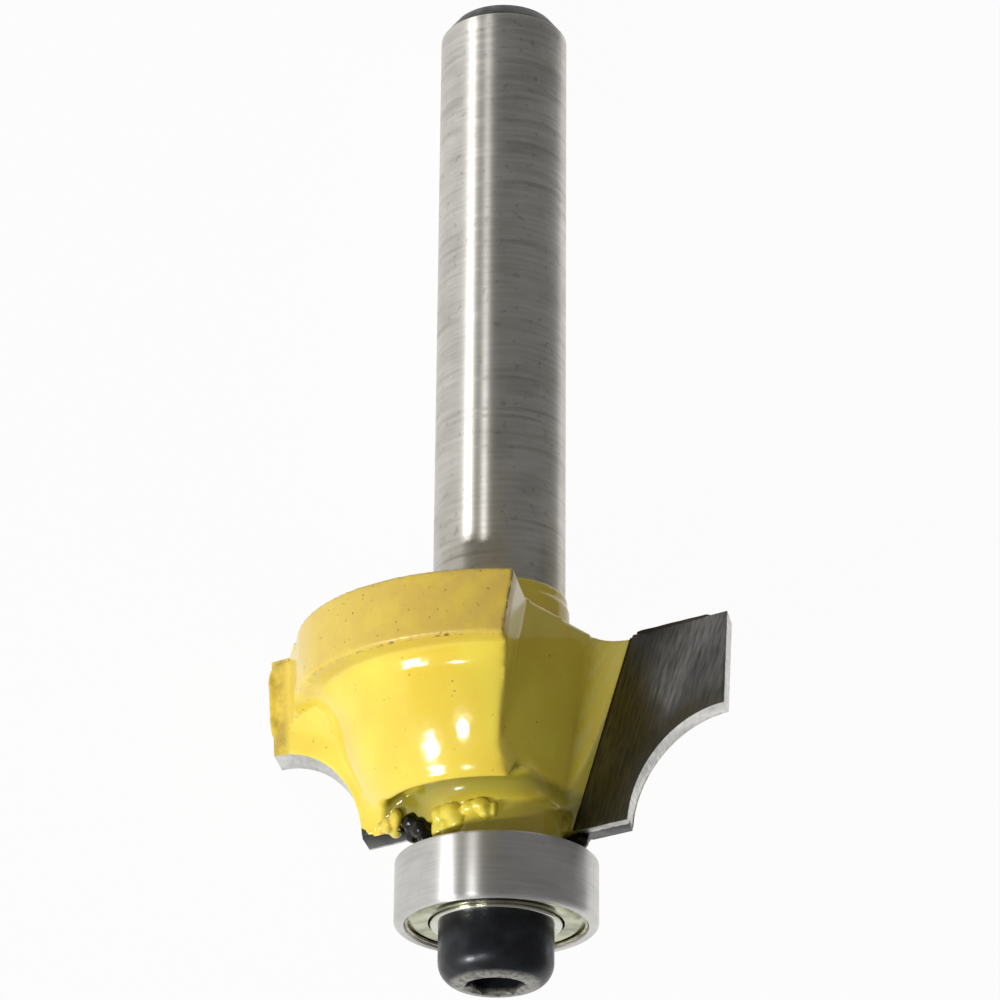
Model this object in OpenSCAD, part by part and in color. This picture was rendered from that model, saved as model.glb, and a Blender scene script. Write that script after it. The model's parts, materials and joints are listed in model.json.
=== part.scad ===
// Router bit for rounding over an edge: a 1/4 inch shank, two carbide tips
// and a guide bearing held by a socket head cap screw.
// It is drawn along its own axis, from the shank's end at z = 0 towards the
// bearing, and is then laid on its side, as it comes to rest on a bench.

/* [Shank] */
// Diameter of the shank
shank_d = 6.35; // [6:0.05:8]
// Length from the shank's end face to the shoulder of the cutter head
shank_len = 33.8; // [24:0.1:50]
// How far the end chamfer comes in from the side
shank_chamfer_in = 0.7; // [0.3:0.05:1.2]
// Length of the end chamfer along the shank
shank_chamfer_len = 0.92; // [0.4:0.02:1.5]
// Length of the thicker collar in front of the shoulder
collar_len = 1.65; // [0.8:0.05:3]
// How far the collar stands out from the shank
collar_wall = 0.2; // [0.1:0.05:0.5]
// Radius of the fillet between the collar and the shoulder
collar_fillet = 0.5; // [0.2:0.05:0.8]

/* [Cutter head] */
// Diameter of the band that limits the depth of cut
band_d = 19.3; // [18.4:0.1:20.6]
// Height of the band
band_h = 3.15; // [2:0.05:3.8]
// Diameter of the body just below the band
flank_top_d = 16.2; // [15:0.1:17]
// Radius of the fillet between the band and the body
flank_fillet = 0.55; // [0.2:0.05:0.8]
// Radius of the gently curved side of the body
flank_r = 16; // [12:0.5:40]
// Diameter of the rim at the body's lower end
rim_d = 11.6; // [10.8:0.1:12.6]
// Distance from the shoulder to the lower end of the rim
rim_depth = 8.7; // [8:0.05:9.3]
// Radius of the rounded rim
rim_round = 0.45; // [0.2:0.05:0.6]
// Radius of the round channel between the rim and the bearing boss
channel_r = 0.85; // [0.4:0.05:1]
// Distance from the shoulder to the face that the bearing seats on
seat_depth = 10.83; // [10.3:0.05:12]

/* [Cutting edge] */
// Diameter of the cutting circle
cut_d = 23; // [22.4:0.1:25]
// Radius of the cove that rounds over the wood
cove_r = 5.04; // [4:0.04:5.2]
// Distance from the shoulder to the corner where the cove begins
land_len = 4.62; // [4.2:0.02:5.2]
// Distance from the shoulder to the lower end of each tip
cut_len = 9.5; // [9:0.02:9.6]
// How far each tip stands up past the shoulder
tip_proud = 0.14; // [0.05:0.01:0.3]
// Distance from the axis to the rake face at the shoulder
rake_offset = 2.74; // [1.8:0.02:3.2]
// Angle by which the rake face leans along the axis
shear_angle = 6.7; // [2:0.1:10]
// Angle by which the ground edges fall back behind the rake face
relief_angle = 26; // [18:0.5:30]
// Angle by which the cove rises behind the rake face
cove_relief_angle = 10.5; // [3:0.5:12]

/* [Carbide tips] */
// Thickness of a tip
tip_t = 1.5; // [1.2:0.02:2.4]
// Distance from the axis to a tip's inner edge at the shoulder
tip_inner = 5.8; // [5.7:0.02:6.6]
// Angle by which a tip's inner edge leans towards the axis
tip_lean = 15; // [10:0.5:17]
// Thickness of the brazed joint behind and inside a tip
braze_t = 0.1; // [0.05:0.01:0.2]

/* [Wings] */
// Thickness of a wing with its tip, behind the rake face
wing_t = 3.2; // [2.8:0.05:4]
// How far a tip stands out past the steel behind it, all along its edge
wing_inset = 1.15; // [0.8:0.05:1.4]
// Angle by which the steel's outer side falls back behind the tip
wing_relief_angle = 45; // [38:1:50]
// Angle by which the steel's cove rises behind the tip
wing_rise_angle = 24; // [16:1:28]
// Distance from the shoulder to the lower end of the steel inside a tip
wing_len = 9.4; // [8.8:0.05:9.45]

/* [Gullets] */
// Distance from the axis to the root of the gullet at the shoulder
root_x = 4.37; // [4:0.02:5]
// Angle by which the gullet leans towards the axis
gullet_lean = 6.1; // [3:0.1:7]
// Radius of the round root
root_r = 1.2; // [0.5:0.05:1.6]
// Length of the flat wall from the root to its outer facet
wall_len = 6.93; // [5.4:0.05:7.6]
// Angle between the flat wall and a square corner
wall_angle = 2.9; // [0:0.1:8]
// Angle between the outer facet and a square corner
facet_angle = 27; // [16:1:40]

/* [Guide bearing] */
// Outer diameter of the bearing
bearing_d = 9.525; // [9.4:0.005:10]
// Bore of the bearing
bearing_bore = 4.7625; // [4.5:0.0125:5]
// Width of the bearing
bearing_w = 3.175; // [3:0.025:4]
// Chamfer at the outer corners of the rings
ring_chamfer = 0.14; // [0.05:0.01:0.2]
// Wall of the inner ring at its plain ends
inner_wall = 0.7; // [0.6:0.02:0.76]
// Wall of the outer ring at its plain middle
outer_wall = 0.71; // [0.62:0.01:0.78]
// Diameter of the balls
ball_d = 1.588; // [1.4:0.004:1.62]
// Number of balls
ball_count = 8; // [6:1:8]
// Gap between a ball and its grooves or its pocket
ball_gap = 0.05; // [0.03:0.01:0.08]
// Thickness of the cage that spaces the balls
cage_t = 0.7; // [0.5:0.02:0.76]
// Height of the cage
cage_h = 1.3; // [1:0.05:1.6]
// Thickness of a shield
shield_t = 0.2; // [0.1:0.01:0.22]
// Depth of the outer ring's step that takes a shield and its clip
shield_step = 0.45; // [0.42:0.01:0.5]
// Gap between a shield and the inner ring
shield_gap = 0.08; // [0.05:0.01:0.12]
// How far the step is wider than the outer ring's plain middle
step_in = 0.24; // [0.18:0.01:0.3]
// Thickness of the round wire clip over a shield
clip_t = 0.17; // [0.1:0.01:0.19]
// Angle of the opening in the clip
clip_opening = 24; // [10:1:60]

/* [Cap screw] */
// Diameter of the screw's thread
screw_d = 3; // [2.6:0.1:3.2]
// Length of the screw below its head
screw_len = 9; // [7:0.1:10.5]
// Thread pitch
thread_pitch = 0.5; // [0.35:0.05:0.6]
// Diameter of the head
head_d = 5.5; // [5.2:0.05:6]
// Height of the head
head_h = 2.86; // [2.6:0.02:3.4]
// Radius of the head's rounded rim
head_round = 1.1; // [0.3:0.05:1.2]
// Width of the hexagon socket across its flats
socket_af = 2.5; // [2:0.05:2.8]
// Depth of the socket
socket_depth = 1.6; // [1:0.05:2]
// Gap between a screw or spigot and its hole
fit_gap = 0.015; // [0.01:0.005:0.05]

/* [Hidden] */
wing_count = 2;
// The bearing's two ends: the front one is on the screw's side
ends = ["front", "rear"];
$fn = 96;
// Reach of cutting shapes past what they cut, steps in a curved outline, and
// steps in the whole circle of the body's long, gentle curve
past = 1;
arc_steps = 20;
gentle_fn = 360;

// Radii of the turned parts
shank_r = shank_d / 2;
collar_r = shank_r + collar_wall;
band_r = band_d / 2;
flank_top_r = flank_top_d / 2;
rim_r = rim_d / 2;
cut_r = cut_d / 2;
screw_r = screw_d / 2;

// The cove's centre lies on the cutting circle, one radius below the edge
cove_depth = land_len + cove_r;
// Length of the rake face along its own slope, past the lower end of a tip
rake_len = (cut_len + past) / cos(shear_angle);
// Depth by which the round root is cut past the flat faces beside it
root_undercut = 0.02;
// A block that is larger than the head each way
block = cut_d;

// The bearing's races, from its own middle plane outwards
inner_land_r = bearing_bore / 2 + inner_wall;
outer_land_r = bearing_d / 2 - outer_wall;
ball_r = ball_d / 2;
pitch_r = (inner_land_r + outer_land_r) / 2;
groove_r = ball_r + ball_gap;
step_r = outer_land_r + step_in;
shield_in_r = inner_land_r + shield_gap;
bearing_z = seat_depth + bearing_w / 2;

// The spigot stops short of the screw's head, so the screw clamps the ring
spigot_r = bearing_bore / 2 - fit_gap;
spigot_gap = 0.2;
spigot_len = bearing_w - spigot_gap;
boss_r = inner_land_r;
hole_r = screw_r + fit_gap;
// Depth of the tapped hole past the screw's tip, and its drill point
hole_spare = 1;
drill_point = 118;
hole_depth = screw_len - bearing_w + hole_spare;
// Depth of the thread form and width of its flat crest, as shares of the pitch
thread_form = 0.6;
thread_crest = 0.2;
thread_depth = thread_form * thread_pitch;
// Width of the chamfer at the mouth of the socket
socket_chamfer = 0.15;
// Share of the cage's height on its closed side, past the middle of the balls
cage_closed = 0.7;
socket_r = socket_af / 2 / cos(30);
// Height of the cone that a point of the drill's angle makes on a radius
function point_h(r) = r / tan(drill_point / 2);

// How far the cutting edge is from the axis at a depth below the shoulder
function edge_r(z) =
    z < land_len ? cut_r : cut_r - sqrt(max(0, pow(cove_r, 2) - pow(cove_depth - z, 2)));
// Distance from the axis to the leaning rake face at that depth
function rake_y(z) = rake_offset - z * tan(shear_angle);
// The same edge measured along the rake face
function edge_x(z) = sqrt(pow(edge_r(z), 2) - pow(rake_y(z), 2));
// Depths down the cove at even turns of its arc, down to a given depth
function cove_turns(low) =
    [for (i = [0:arc_steps]) cove_depth - cove_r * cos(i / arc_steps * acos((cove_depth - low) / cove_r))];

// Outline of the ground edge on the rake face, from above the shoulder down
edge_outline = concat(
    [[0, -past], [edge_x(0), -past]],
    [for (z = cove_turns(cut_len)) [edge_x(z), z / cos(shear_angle)]],
    [[edge_x(cut_len), rake_len], [0, rake_len]]
);

// The same on the back face of a tip, after its relief, drawn in for the steel
back_x = tip_t * tan(relief_angle);
back_rise = tip_t * tan(cove_relief_angle);
inset_ratio = (cove_r + wing_inset) / cove_r;
wing_edge_x = edge_x(land_len) - back_x - wing_inset;
// Distance from the axis to the inset cove at one of the edge's depths
function inset_x(z) = sqrt(pow(cut_r + (edge_r(z) - cut_r) * inset_ratio, 2) - pow(rake_y(z), 2)) - back_x;
function inset_depth(z) = cove_depth + (z - cove_depth) * inset_ratio - back_rise;
wing_outline = concat(
    [[0, -past], [wing_edge_x, -past]],
    [for (z = cove_turns(cut_len)) [min(wing_edge_x, inset_x(z)), inset_depth(z) / cos(shear_angle)]],
    [[inset_x(cut_len), rake_len], [0, rake_len]]
);

// Outline of a tip's blank before its edge is ground, and of its pocket
function blank_outline(grow) = [
    [tip_inner + past * tan(tip_lean) - grow / cos(tip_lean), -past],
    [cut_d, -past],
    [cut_d, rake_len],
    [tip_inner - rake_len * tan(tip_lean) - grow / cos(tip_lean), rake_len]
];

// Where the head touches the bench: the outer corner of a rake face and the
// nearest corner of the band across the same gullet
touch_tip = [edge_x(-tip_proud), -rake_y(-tip_proud)];
facet_from = [root_x + wall_len * sin(wall_angle), wall_len * cos(wall_angle) - rake_offset];
facet_dir = [sin(facet_angle), cos(facet_angle)];
facet_along = facet_from * facet_dir;
facet_reach = sqrt(pow(band_r, 2) - facet_from * facet_from + pow(facet_along, 2)) - facet_along;
touch_band = facet_from + facet_reach * facet_dir;
touch_angle = atan2(touch_band.y - touch_tip.y, touch_band.x - touch_tip.x) - 90;
touch_r = touch_tip * [cos(touch_angle), sin(touch_angle)];
// Slope of the axis when the shank's end also touches
rest_slope = atan((touch_r - shank_r) / (shank_len - tip_proud - shank_chamfer_len));

// Lays the bit down with its shank's end face at the origin and one gullet up
module at_rest() {
    rotate([90 - rest_slope, 0, 0])
        rotate([0, 0, 90 - touch_angle])
            children();
}

// The head's own place, with z = 0 at the shoulder
module in_head() {
    translate([0, 0, shank_len]) children();
}

// The bearing's own place, with z = 0 at its middle plane
module in_bearing() {
    in_head() translate([0, 0, bearing_z]) children();
}

// The place of one wing, with y = 0 on its rake face and y < 0 behind it
module on_rake(wing) {
    rotate([0, 0, 360 / wing_count * (wing - 1)])
        translate([0, -rake_offset, 0])
            rotate([-shear_angle, 0, 0])
                children();
}

// A bar with the given outline on the rake face, running straight back
module straight_back(outline, depth) {
    rotate([90, 0, 0]) linear_extrude(height = depth) polygon(outline);
}

// A bar with the given outline on the rake face, running back along a relief
// that turns in and rises by the given angles. The outline is foreshortened
// so that the rake face cuts it true.
module relieved_back(outline, turn, rise) {
    rotate([90 + rise, 0, -turn])
        linear_extrude(height = 2 * block, center = true)
            polygon([for (p = outline) [p.x * cos(turn), p.y * cos(rise) - p.x * sin(rise) * sin(turn)]]);
}

// Everything between a height above the shoulder and a depth below it
module head_slab(height, depth) {
    translate([0, 0, -height]) cylinder(r = block, h = height + depth);
}

// Turned outline of the band, body and rim
module head_profile() {
    square([band_r, band_h]);
    flank_profile();
    difference() {
        translate([flank_top_r - past, band_h - past]) square([past + flank_fillet, past + flank_fillet]);
        translate([flank_top_r + flank_fillet, band_h + flank_fillet]) circle(r = flank_fillet);
    }
}

// Half outline of the body: a gentle curve from the band to a rounded rim
module flank_profile() {
    rim_side = rim_depth - rim_round;
    chord = [rim_r - flank_top_r, rim_side - band_h];
    chord_len = norm(chord);
    middle = [(rim_r + flank_top_r) / 2, (rim_side + band_h) / 2];
    inward = [-chord.y, chord.x] / chord_len;
    centre = middle + inward * sqrt(pow(flank_r, 2) - pow(chord_len / 2, 2));
    intersection() {
        translate([0, band_h / 2]) square([band_r, rim_side - band_h / 2]);
        translate(centre) circle(r = flank_r, $fn = gentle_fn);
    }
    translate([0, rim_side - past]) square([rim_r - rim_round, past + rim_round]);
    translate([rim_r - rim_round, rim_side]) circle(r = rim_round);
}

// Round channel between the rim and the boss
module channel_profile() {
    translate([rim_r - rim_round - channel_r, rim_depth]) circle(r = channel_r);
}

// Gullet in plan: a flat wall with an outer facet, a round root and, along
// y = 0, the line of the rake face
module gullet_plan() {
    wall = wall_len * [sin(wall_angle), cos(wall_angle)];
    facet = wall + block * facet_dir;
    turn_in = root_r / tan((90 - wall_angle) / 2);
    wall_touch = turn_in * [sin(wall_angle), cos(wall_angle)];
    difference() {
        polygon([[0, 0], wall, facet, [2 * block, block], [2 * block, 0]]);
        polygon([[0, 0], [turn_in, 0], [turn_in, root_r], wall_touch]);
    }
    translate([turn_in, root_r]) circle(r = root_r + root_undercut);
}

// The space milled away in front of one wing
module gullet_cut(wing) {
    on_rake(wing)
        translate([root_x, 0, 0])
            rotate([0, -gullet_lean, 0])
                translate([0, 0, -2 * past])
                    linear_extrude(height = seat_depth + past) gullet_plan();
}

// Front of a wing before its tip's pocket is milled, as deep as the tip is thick
module wing_front() {
    straight_back(wing_outline, tip_t);
}

// The wing's relieved steel behind the tip
module wing_back() {
    intersection() {
        translate([0, -tip_t, 0]) relieved_back(wing_outline, wing_relief_angle, wing_rise_angle);
        translate([0, -wing_t, -past]) cube([cut_r, wing_t - tip_t, rake_len + 2 * past]);
    }
}

// Head with its backs of wings, turned with a channel between rim and boss
module turned_head() {
    difference() {
        union() {
            rotate_extrude() head_profile();
            intersection() {
                head_slab(0, rim_depth);
                for (wing = [1:wing_count]) on_rake(wing) wing_back();
            }
        }
        rotate_extrude() channel_profile();
    }
}

// Turned boss with the spigot that centres the bearing
module boss() {
    cylinder(r = boss_r, h = seat_depth);
    cylinder(r = spigot_r, h = seat_depth + spigot_len);
}

// The space of a tip's blank, made larger all round and open to the gullet
module tip_space(grow) {
    translate([0, past, 0]) straight_back(blank_outline(grow), past + tip_t + grow);
}

// Tapped hole for the cap screw, open at the spigot's end
module screw_hole() {
    mouth = seat_depth + spigot_len;
    tip = seat_depth - hole_depth;
    translate([0, 0, tip]) cylinder(r = hole_r, h = mouth - tip + past);
    translate([0, 0, tip - point_h(hole_r)]) cylinder(r1 = 0, r2 = hole_r, h = point_h(hole_r));
}

// Concave fillet in front of the shoulder
module collar_fillet_profile() {
    difference() {
        translate([0, -collar_fillet]) square([collar_r + collar_fillet, collar_fillet + past]);
        translate([collar_r + collar_fillet, -collar_fillet]) circle(r = collar_fillet);
    }
}

// Shank, head, wings and spigot, turned and milled from one bar
module cutter_body() {
    color("gold")
        at_rest() {
            translate([0, 0, shank_chamfer_len])
                cylinder(r = shank_r, h = shank_len - shank_chamfer_len);
            cylinder(r1 = shank_r - shank_chamfer_in, r2 = shank_r, h = shank_chamfer_len);
            translate([0, 0, shank_len - collar_len]) cylinder(r = collar_r, h = collar_len);
            in_head() {
                rotate_extrude() collar_fillet_profile();
                difference() {
                    union() {
                        difference() {
                            union() {
                                turned_head();
                                intersection() {
                                    head_slab(0, wing_len);
                                    for (wing = [1:wing_count]) on_rake(wing) wing_front();
                                }
                            }
                            for (wing = [1:wing_count]) gullet_cut(wing);
                        }
                        boss();
                    }
                    for (wing = [1:wing_count]) on_rake(wing) tip_space(braze_t);
                    screw_hole();
                }
            }
        }
}

// One carbide tip, ground to the cutting edge with relief behind it
module carbide_tip(wing) {
    color("dimgray")
        at_rest() in_head()
            intersection() {
                head_slab(tip_proud, cut_len);
                on_rake(wing)
                    intersection() {
                        relieved_back(edge_outline, relief_angle, cove_relief_angle);
                        straight_back(blank_outline(0), tip_t);
                    }
            }
}

// Thin layer of braze behind one tip and along its inner edge
module braze_seam(wing) {
    color("saddlebrown")
        at_rest() in_head()
            intersection() {
                head_slab(0, wing_len);
                on_rake(wing)
                    difference() {
                        intersection() {
                            union() {
                                wing_front();
                                wing_back();
                            }
                            straight_back(blank_outline(braze_t), tip_t + braze_t);
                        }
                        tip_space(0);
                    }
            }
}

// Socket head cap screw that clamps the bearing's inner ring
module cap_screw() {
    color("darkslategray")
        at_rest() in_head()
            translate([0, 0, seat_depth + bearing_w])
                difference() {
                    union() {
                        rotate_extrude() screw_head_profile();
                        rotate_extrude() thread_profile();
                    }
                    translate([0, 0, head_h - socket_depth])
                        cylinder(r = socket_r, h = socket_depth + past, $fn = 6);
                    translate([0, 0, head_h - socket_depth - point_h(socket_af / 2)])
                        cylinder(r1 = 0, r2 = socket_af / 2, h = point_h(socket_af / 2));
                    translate([0, 0, head_h - socket_chamfer])
                        cylinder(r1 = socket_r - socket_chamfer, r2 = socket_r + socket_chamfer,
                                 h = 2 * socket_chamfer);
                }
}

// Half outline of the screw's head, with a rounded rim
module screw_head_profile() {
    square([head_d / 2, head_h - head_round]);
    square([head_d / 2 - head_round, head_h]);
    intersection() {
        translate([head_d / 2 - head_round, head_h - head_round]) circle(r = head_round);
        square([head_d / 2, head_h]);
    }
}

// Half outline of the threaded shank, one groove for each turn
module thread_profile() {
    turns = floor((screw_len - bearing_w + spigot_gap) / thread_pitch) - 1;
    root = screw_r - thread_depth;
    half_crest = thread_crest / 2;
    groove = [[screw_r, 1 - half_crest], [root, 1 / 2], [screw_r, half_crest]];
    polygon(concat(
        [[0, 0], [screw_r, 0]],
        [for (i = [turns:-1:0]) for (p = groove) [p.x, -screw_len + (i + 1 + p.y) * thread_pitch]],
        [[root, -screw_len], [0, -screw_len]]
    ));
}

// Half outline of a ring with chamfered outer corners, about z = 0
module ring_profile(in_r, out_r, in_cut, out_cut) {
    h = bearing_w / 2;
    polygon([
        [in_r, -h + in_cut], [in_r + in_cut, -h], [out_r - out_cut, -h], [out_r, -h + out_cut],
        [out_r, h - out_cut], [out_r - out_cut, h], [in_r + in_cut, h], [in_r, h - in_cut]
    ]);
}

// Inner ring, clamped between the boss and the screw's head
module bearing_inner_ring() {
    color("silver")
        at_rest() in_bearing()
            rotate_extrude()
                difference() {
                    ring_profile(bearing_bore / 2, inner_land_r, ring_chamfer, ring_chamfer / 2);
                    translate([pitch_r, 0]) circle(r = groove_r);
                }
}

// Outer ring, which rolls along the edge of the work
module bearing_outer_ring() {
    color("silver")
        at_rest() in_bearing()
            rotate_extrude()
                difference() {
                    ring_profile(outer_land_r, bearing_d / 2, 0, ring_chamfer);
                    translate([pitch_r, 0]) circle(r = groove_r);
                    for (side = [-1, 1])
                        translate([0, side * bearing_w / 2])
                            square([2 * step_r, 2 * shield_step], center = true);
                }
}

// One ball at its place round the pitch circle
module ball(i) {
    color("lightgray")
        at_rest() in_bearing()
            rotate([0, 0, 360 / ball_count * (i - 1)])
                translate([pitch_r, 0, 0]) sphere(r = ball_r);
}

// Snap-in cage with one open pocket for each ball
module ball_cage() {
    closed_side = cage_closed * cage_h;
    color("peru")
        at_rest() in_bearing()
            difference() {
                translate([0, 0, -closed_side])
                    difference() {
                        cylinder(r = pitch_r + cage_t / 2, h = cage_h);
                        translate([0, 0, -past]) cylinder(r = pitch_r - cage_t / 2, h = cage_h + 2 * past);
                    }
                for (i = [1:ball_count])
                    rotate([0, 0, 360 / ball_count * (i - 1)])
                        translate([pitch_r, 0, 0]) sphere(r = groove_r);
            }
}

// Turns a bearing piece that is drawn at the rear end to either end
module at_end(end) {
    in_bearing() mirror([0, 0, end == "front" ? 1 : 0]) children();
}

// Pressed shield whose inner lip stands out by half its thickness
module bearing_shield(end) {
    floor_z = shield_step - bearing_w / 2;
    lip = shield_t / 2;
    color("darkseagreen")
        at_rest() at_end(end)
            rotate_extrude()
                polygon([
                    [step_r - fit_gap, floor_z],
                    [step_r - fit_gap, floor_z - shield_t],
                    [outer_land_r, floor_z - shield_t],
                    [outer_land_r - shield_t, floor_z - shield_t - lip],
                    [shield_in_r, floor_z - shield_t - lip],
                    [shield_in_r, floor_z - lip],
                    [outer_land_r - shield_t, floor_z - lip],
                    [outer_land_r - lip, floor_z]
                ]);
}

// Open wire clip that holds a shield in its step
module shield_clip(end) {
    wire_z = shield_step - bearing_w / 2 - shield_t - clip_t / 2;
    color("dimgray")
        at_rest() at_end(end)
            rotate([0, 0, clip_opening / 2])
                rotate_extrude(angle = 360 - clip_opening)
                    translate([step_r - fit_gap - clip_t, wire_z - clip_t / 2])
                        square([clip_t, clip_t]);
}

cutter_body();
for (i = [1:wing_count]) {
    carbide_tip(i);
    braze_seam(i);
}
cap_screw();
bearing_inner_ring();
bearing_outer_ring();
ball_cage();
for (i = [1:ball_count])
    ball(i);
for (e = ends) {
    bearing_shield(e);
    shield_clip(e);
}
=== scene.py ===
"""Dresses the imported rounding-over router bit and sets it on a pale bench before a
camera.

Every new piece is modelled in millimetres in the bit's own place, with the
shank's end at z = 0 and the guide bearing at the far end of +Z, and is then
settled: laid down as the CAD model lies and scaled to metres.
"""

import json
import logging
import math
from abc import ABC, abstractmethod
from contextlib import contextmanager
from dataclasses import dataclass
from enum import Enum
from functools import partial
from typing import Callable, Iterator, Mapping, Sequence

import bmesh
import bpy
from bpy.types import Material, Node, NodeSocket, NodeTree, Object
from mathutils import Matrix, Vector
from mathutils.kdtree import KDTree

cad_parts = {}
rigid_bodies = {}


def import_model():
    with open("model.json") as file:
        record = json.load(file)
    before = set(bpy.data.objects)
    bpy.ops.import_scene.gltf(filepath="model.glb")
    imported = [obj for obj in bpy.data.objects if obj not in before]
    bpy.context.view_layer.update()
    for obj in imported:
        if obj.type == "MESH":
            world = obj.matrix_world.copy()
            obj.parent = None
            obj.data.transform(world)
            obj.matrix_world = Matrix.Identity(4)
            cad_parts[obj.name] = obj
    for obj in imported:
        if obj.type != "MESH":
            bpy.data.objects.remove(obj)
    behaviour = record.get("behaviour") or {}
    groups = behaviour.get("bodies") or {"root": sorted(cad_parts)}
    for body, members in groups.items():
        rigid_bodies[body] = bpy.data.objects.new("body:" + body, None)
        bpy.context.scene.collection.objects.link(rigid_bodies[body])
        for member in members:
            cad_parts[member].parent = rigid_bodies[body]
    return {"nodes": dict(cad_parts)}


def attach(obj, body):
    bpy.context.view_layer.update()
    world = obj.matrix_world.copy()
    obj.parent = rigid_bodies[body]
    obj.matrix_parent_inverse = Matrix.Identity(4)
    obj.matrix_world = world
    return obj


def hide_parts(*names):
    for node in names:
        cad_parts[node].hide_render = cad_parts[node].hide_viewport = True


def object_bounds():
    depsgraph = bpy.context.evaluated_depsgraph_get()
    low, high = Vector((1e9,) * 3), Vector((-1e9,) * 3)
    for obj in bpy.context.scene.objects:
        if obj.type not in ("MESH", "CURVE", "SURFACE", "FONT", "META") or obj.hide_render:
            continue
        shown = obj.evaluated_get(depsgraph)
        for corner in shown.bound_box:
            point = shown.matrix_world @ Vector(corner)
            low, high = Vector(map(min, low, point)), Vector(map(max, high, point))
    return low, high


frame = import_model()
CAD_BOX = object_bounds()

log = logging.getLogger("router_bit")

MM = 0.001
HALF_TURN = math.pi
QUARTER_TURN = math.pi / 2

# How the bit lies: its axis slopes up towards the bearing, and it is turned
# about that axis until one carbide corner and the band's edge touch the bench.
REST_SLOPE = math.radians(9.844765)
TOUCH_ANGLE = math.radians(25.765887)
LAID_DOWN = Matrix.Rotation(QUARTER_TURN - REST_SLOPE, 4, "X") @ Matrix.Rotation(
    QUARTER_TURN - TOUCH_ANGLE, 4, "Z"
)
SETTLE = LAID_DOWN @ Matrix.Scale(MM, 4)
# The bit's axis in the row frame, along which its turned metal is brushed
AXIS = tuple((LAID_DOWN @ Vector((0, 0, 1))).normalized())

# Where the cutter head begins along the bit, and the leaning rake face
SHOULDER = 33.8
RAKE_OFFSET = 2.74
SHEAR = math.radians(6.7)
RAKE_LEAN = math.tan(SHEAR)

Add = Callable[..., Node]
Outline = Sequence[tuple[float, float]]
Test = Callable[[Vector, Vector], bool]


class Body(Enum):
    """The bodies that the new pieces ride on."""

    CUTTER = "cutter"
    OUTER_RING = "outer_ring"


class Cover(Enum):
    """The CAD parts whose backs are painted over with the head."""

    TIP = "carbide_tip"
    SEAM = "braze_seam"


class Slot(Enum):
    """The names of the record's material slots."""

    PAINTED_STEEL = "painted_steel"
    CARBIDE = "carbide"
    BRAZE = "braze"
    BLACK_STEEL = "black_steel"
    RING_STEEL = "ring_steel"
    SHIELD_STEEL = "shield_steel"
    CLIP_STEEL = "clip_steel"


# ---- Colours and nodes ----


def linear(hex_colour: str) -> tuple[float, float, float, float]:
    """Turns an sRGB hex colour into the linear one that a shader takes.

    Args:
        hex_colour: six hex digits, with no leading sign.

    Returns:
        Red, green, blue and an alpha of one.
    """
    parts = [int(hex_colour[i : i + 2], 16) / 255 for i in (0, 2, 4)]
    bent = [c / 12.92 if c <= 0.04045 else ((c + 0.055) / 1.055) ** 2.4 for c in parts]
    return (*bent, 1.0)


def add_node(
    tree: NodeTree,
    kind: str,
    inputs: Mapping[str | int, object] | None = None,
    **settings: object,
) -> Node:
    """Adds one node with its settings, values and links.

    Args:
        tree: the material's or world's node tree.
        kind: the node's type, without the leading ShaderNode.
        inputs: for each named input a value, an output socket to link, or a
            node whose first output in use is linked.
        **settings: the node's own properties.

    Returns:
        The new node.
    """
    node = tree.nodes.new("ShaderNode" + kind)
    for name, value in settings.items():
        setattr(node, name, value)
    for name, value in (inputs or {}).items():
        if isinstance(value, Node):
            value = next(socket for socket in value.outputs if socket.enabled)
        if isinstance(value, NodeSocket):
            tree.links.new(value, node.inputs[name])
        else:
            node.inputs[name].default_value = value
    return node


def new_material(name: str) -> tuple[Material, Add]:
    """Makes an empty material.

    Args:
        name: the material's plain name.

    Returns:
        The material, and add_node for its tree.
    """
    material = bpy.data.materials.new(name)
    material.use_nodes = True
    material.node_tree.nodes.clear()
    return material, partial(add_node, material.node_tree)


def bit_place(add: Add) -> Node:
    """Gives each point's place in the bit's own millimetres.

    Args:
        add: add_node for the material's tree.

    Returns:
        A node whose vector has x and y across the bit, and z along it from
        the shank's end.
    """
    here = add("TexCoord").outputs["Object"]
    turn = (REST_SLOPE - QUARTER_TURN, 0, TOUCH_ANGLE - QUARTER_TURN)
    return add("Mapping", {"Vector": here, "Rotation": turn, "Scale": (1 / MM,) * 3})


def distance_out(add: Add, place: Node) -> Node:
    """Measures how far each point lies from the bit's axis.

    Args:
        add: add_node for the material's tree.
        place: the point's place, from bit_place.

    Returns:
        A node whose value is the distance in millimetres.
    """
    x, y, _ = add("SeparateXYZ", {0: place}).outputs
    flat = add("CombineXYZ", {0: x, 1: y, 2: 0.0})
    return add("VectorMath", {0: flat}, operation="LENGTH")


# ---- Finishes ----


class Finish(ABC):
    """A finish of the bit, which makes one material."""

    name: str

    @abstractmethod
    def surface(self, add: Add) -> dict[str, object]:
        """Adds the finish's nodes.

        Args:
            add: add_node for the material's tree.

        Returns:
            The Principled shader's inputs.
        """

    def make(self) -> Material:
        """Builds the material.

        Returns:
            The material, with one Principled shader.
        """
        material, add = new_material(self.name)
        shader = add("BsdfPrincipled", self.surface(add))
        add("OutputMaterial", {"Surface": shader})
        return material


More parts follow.
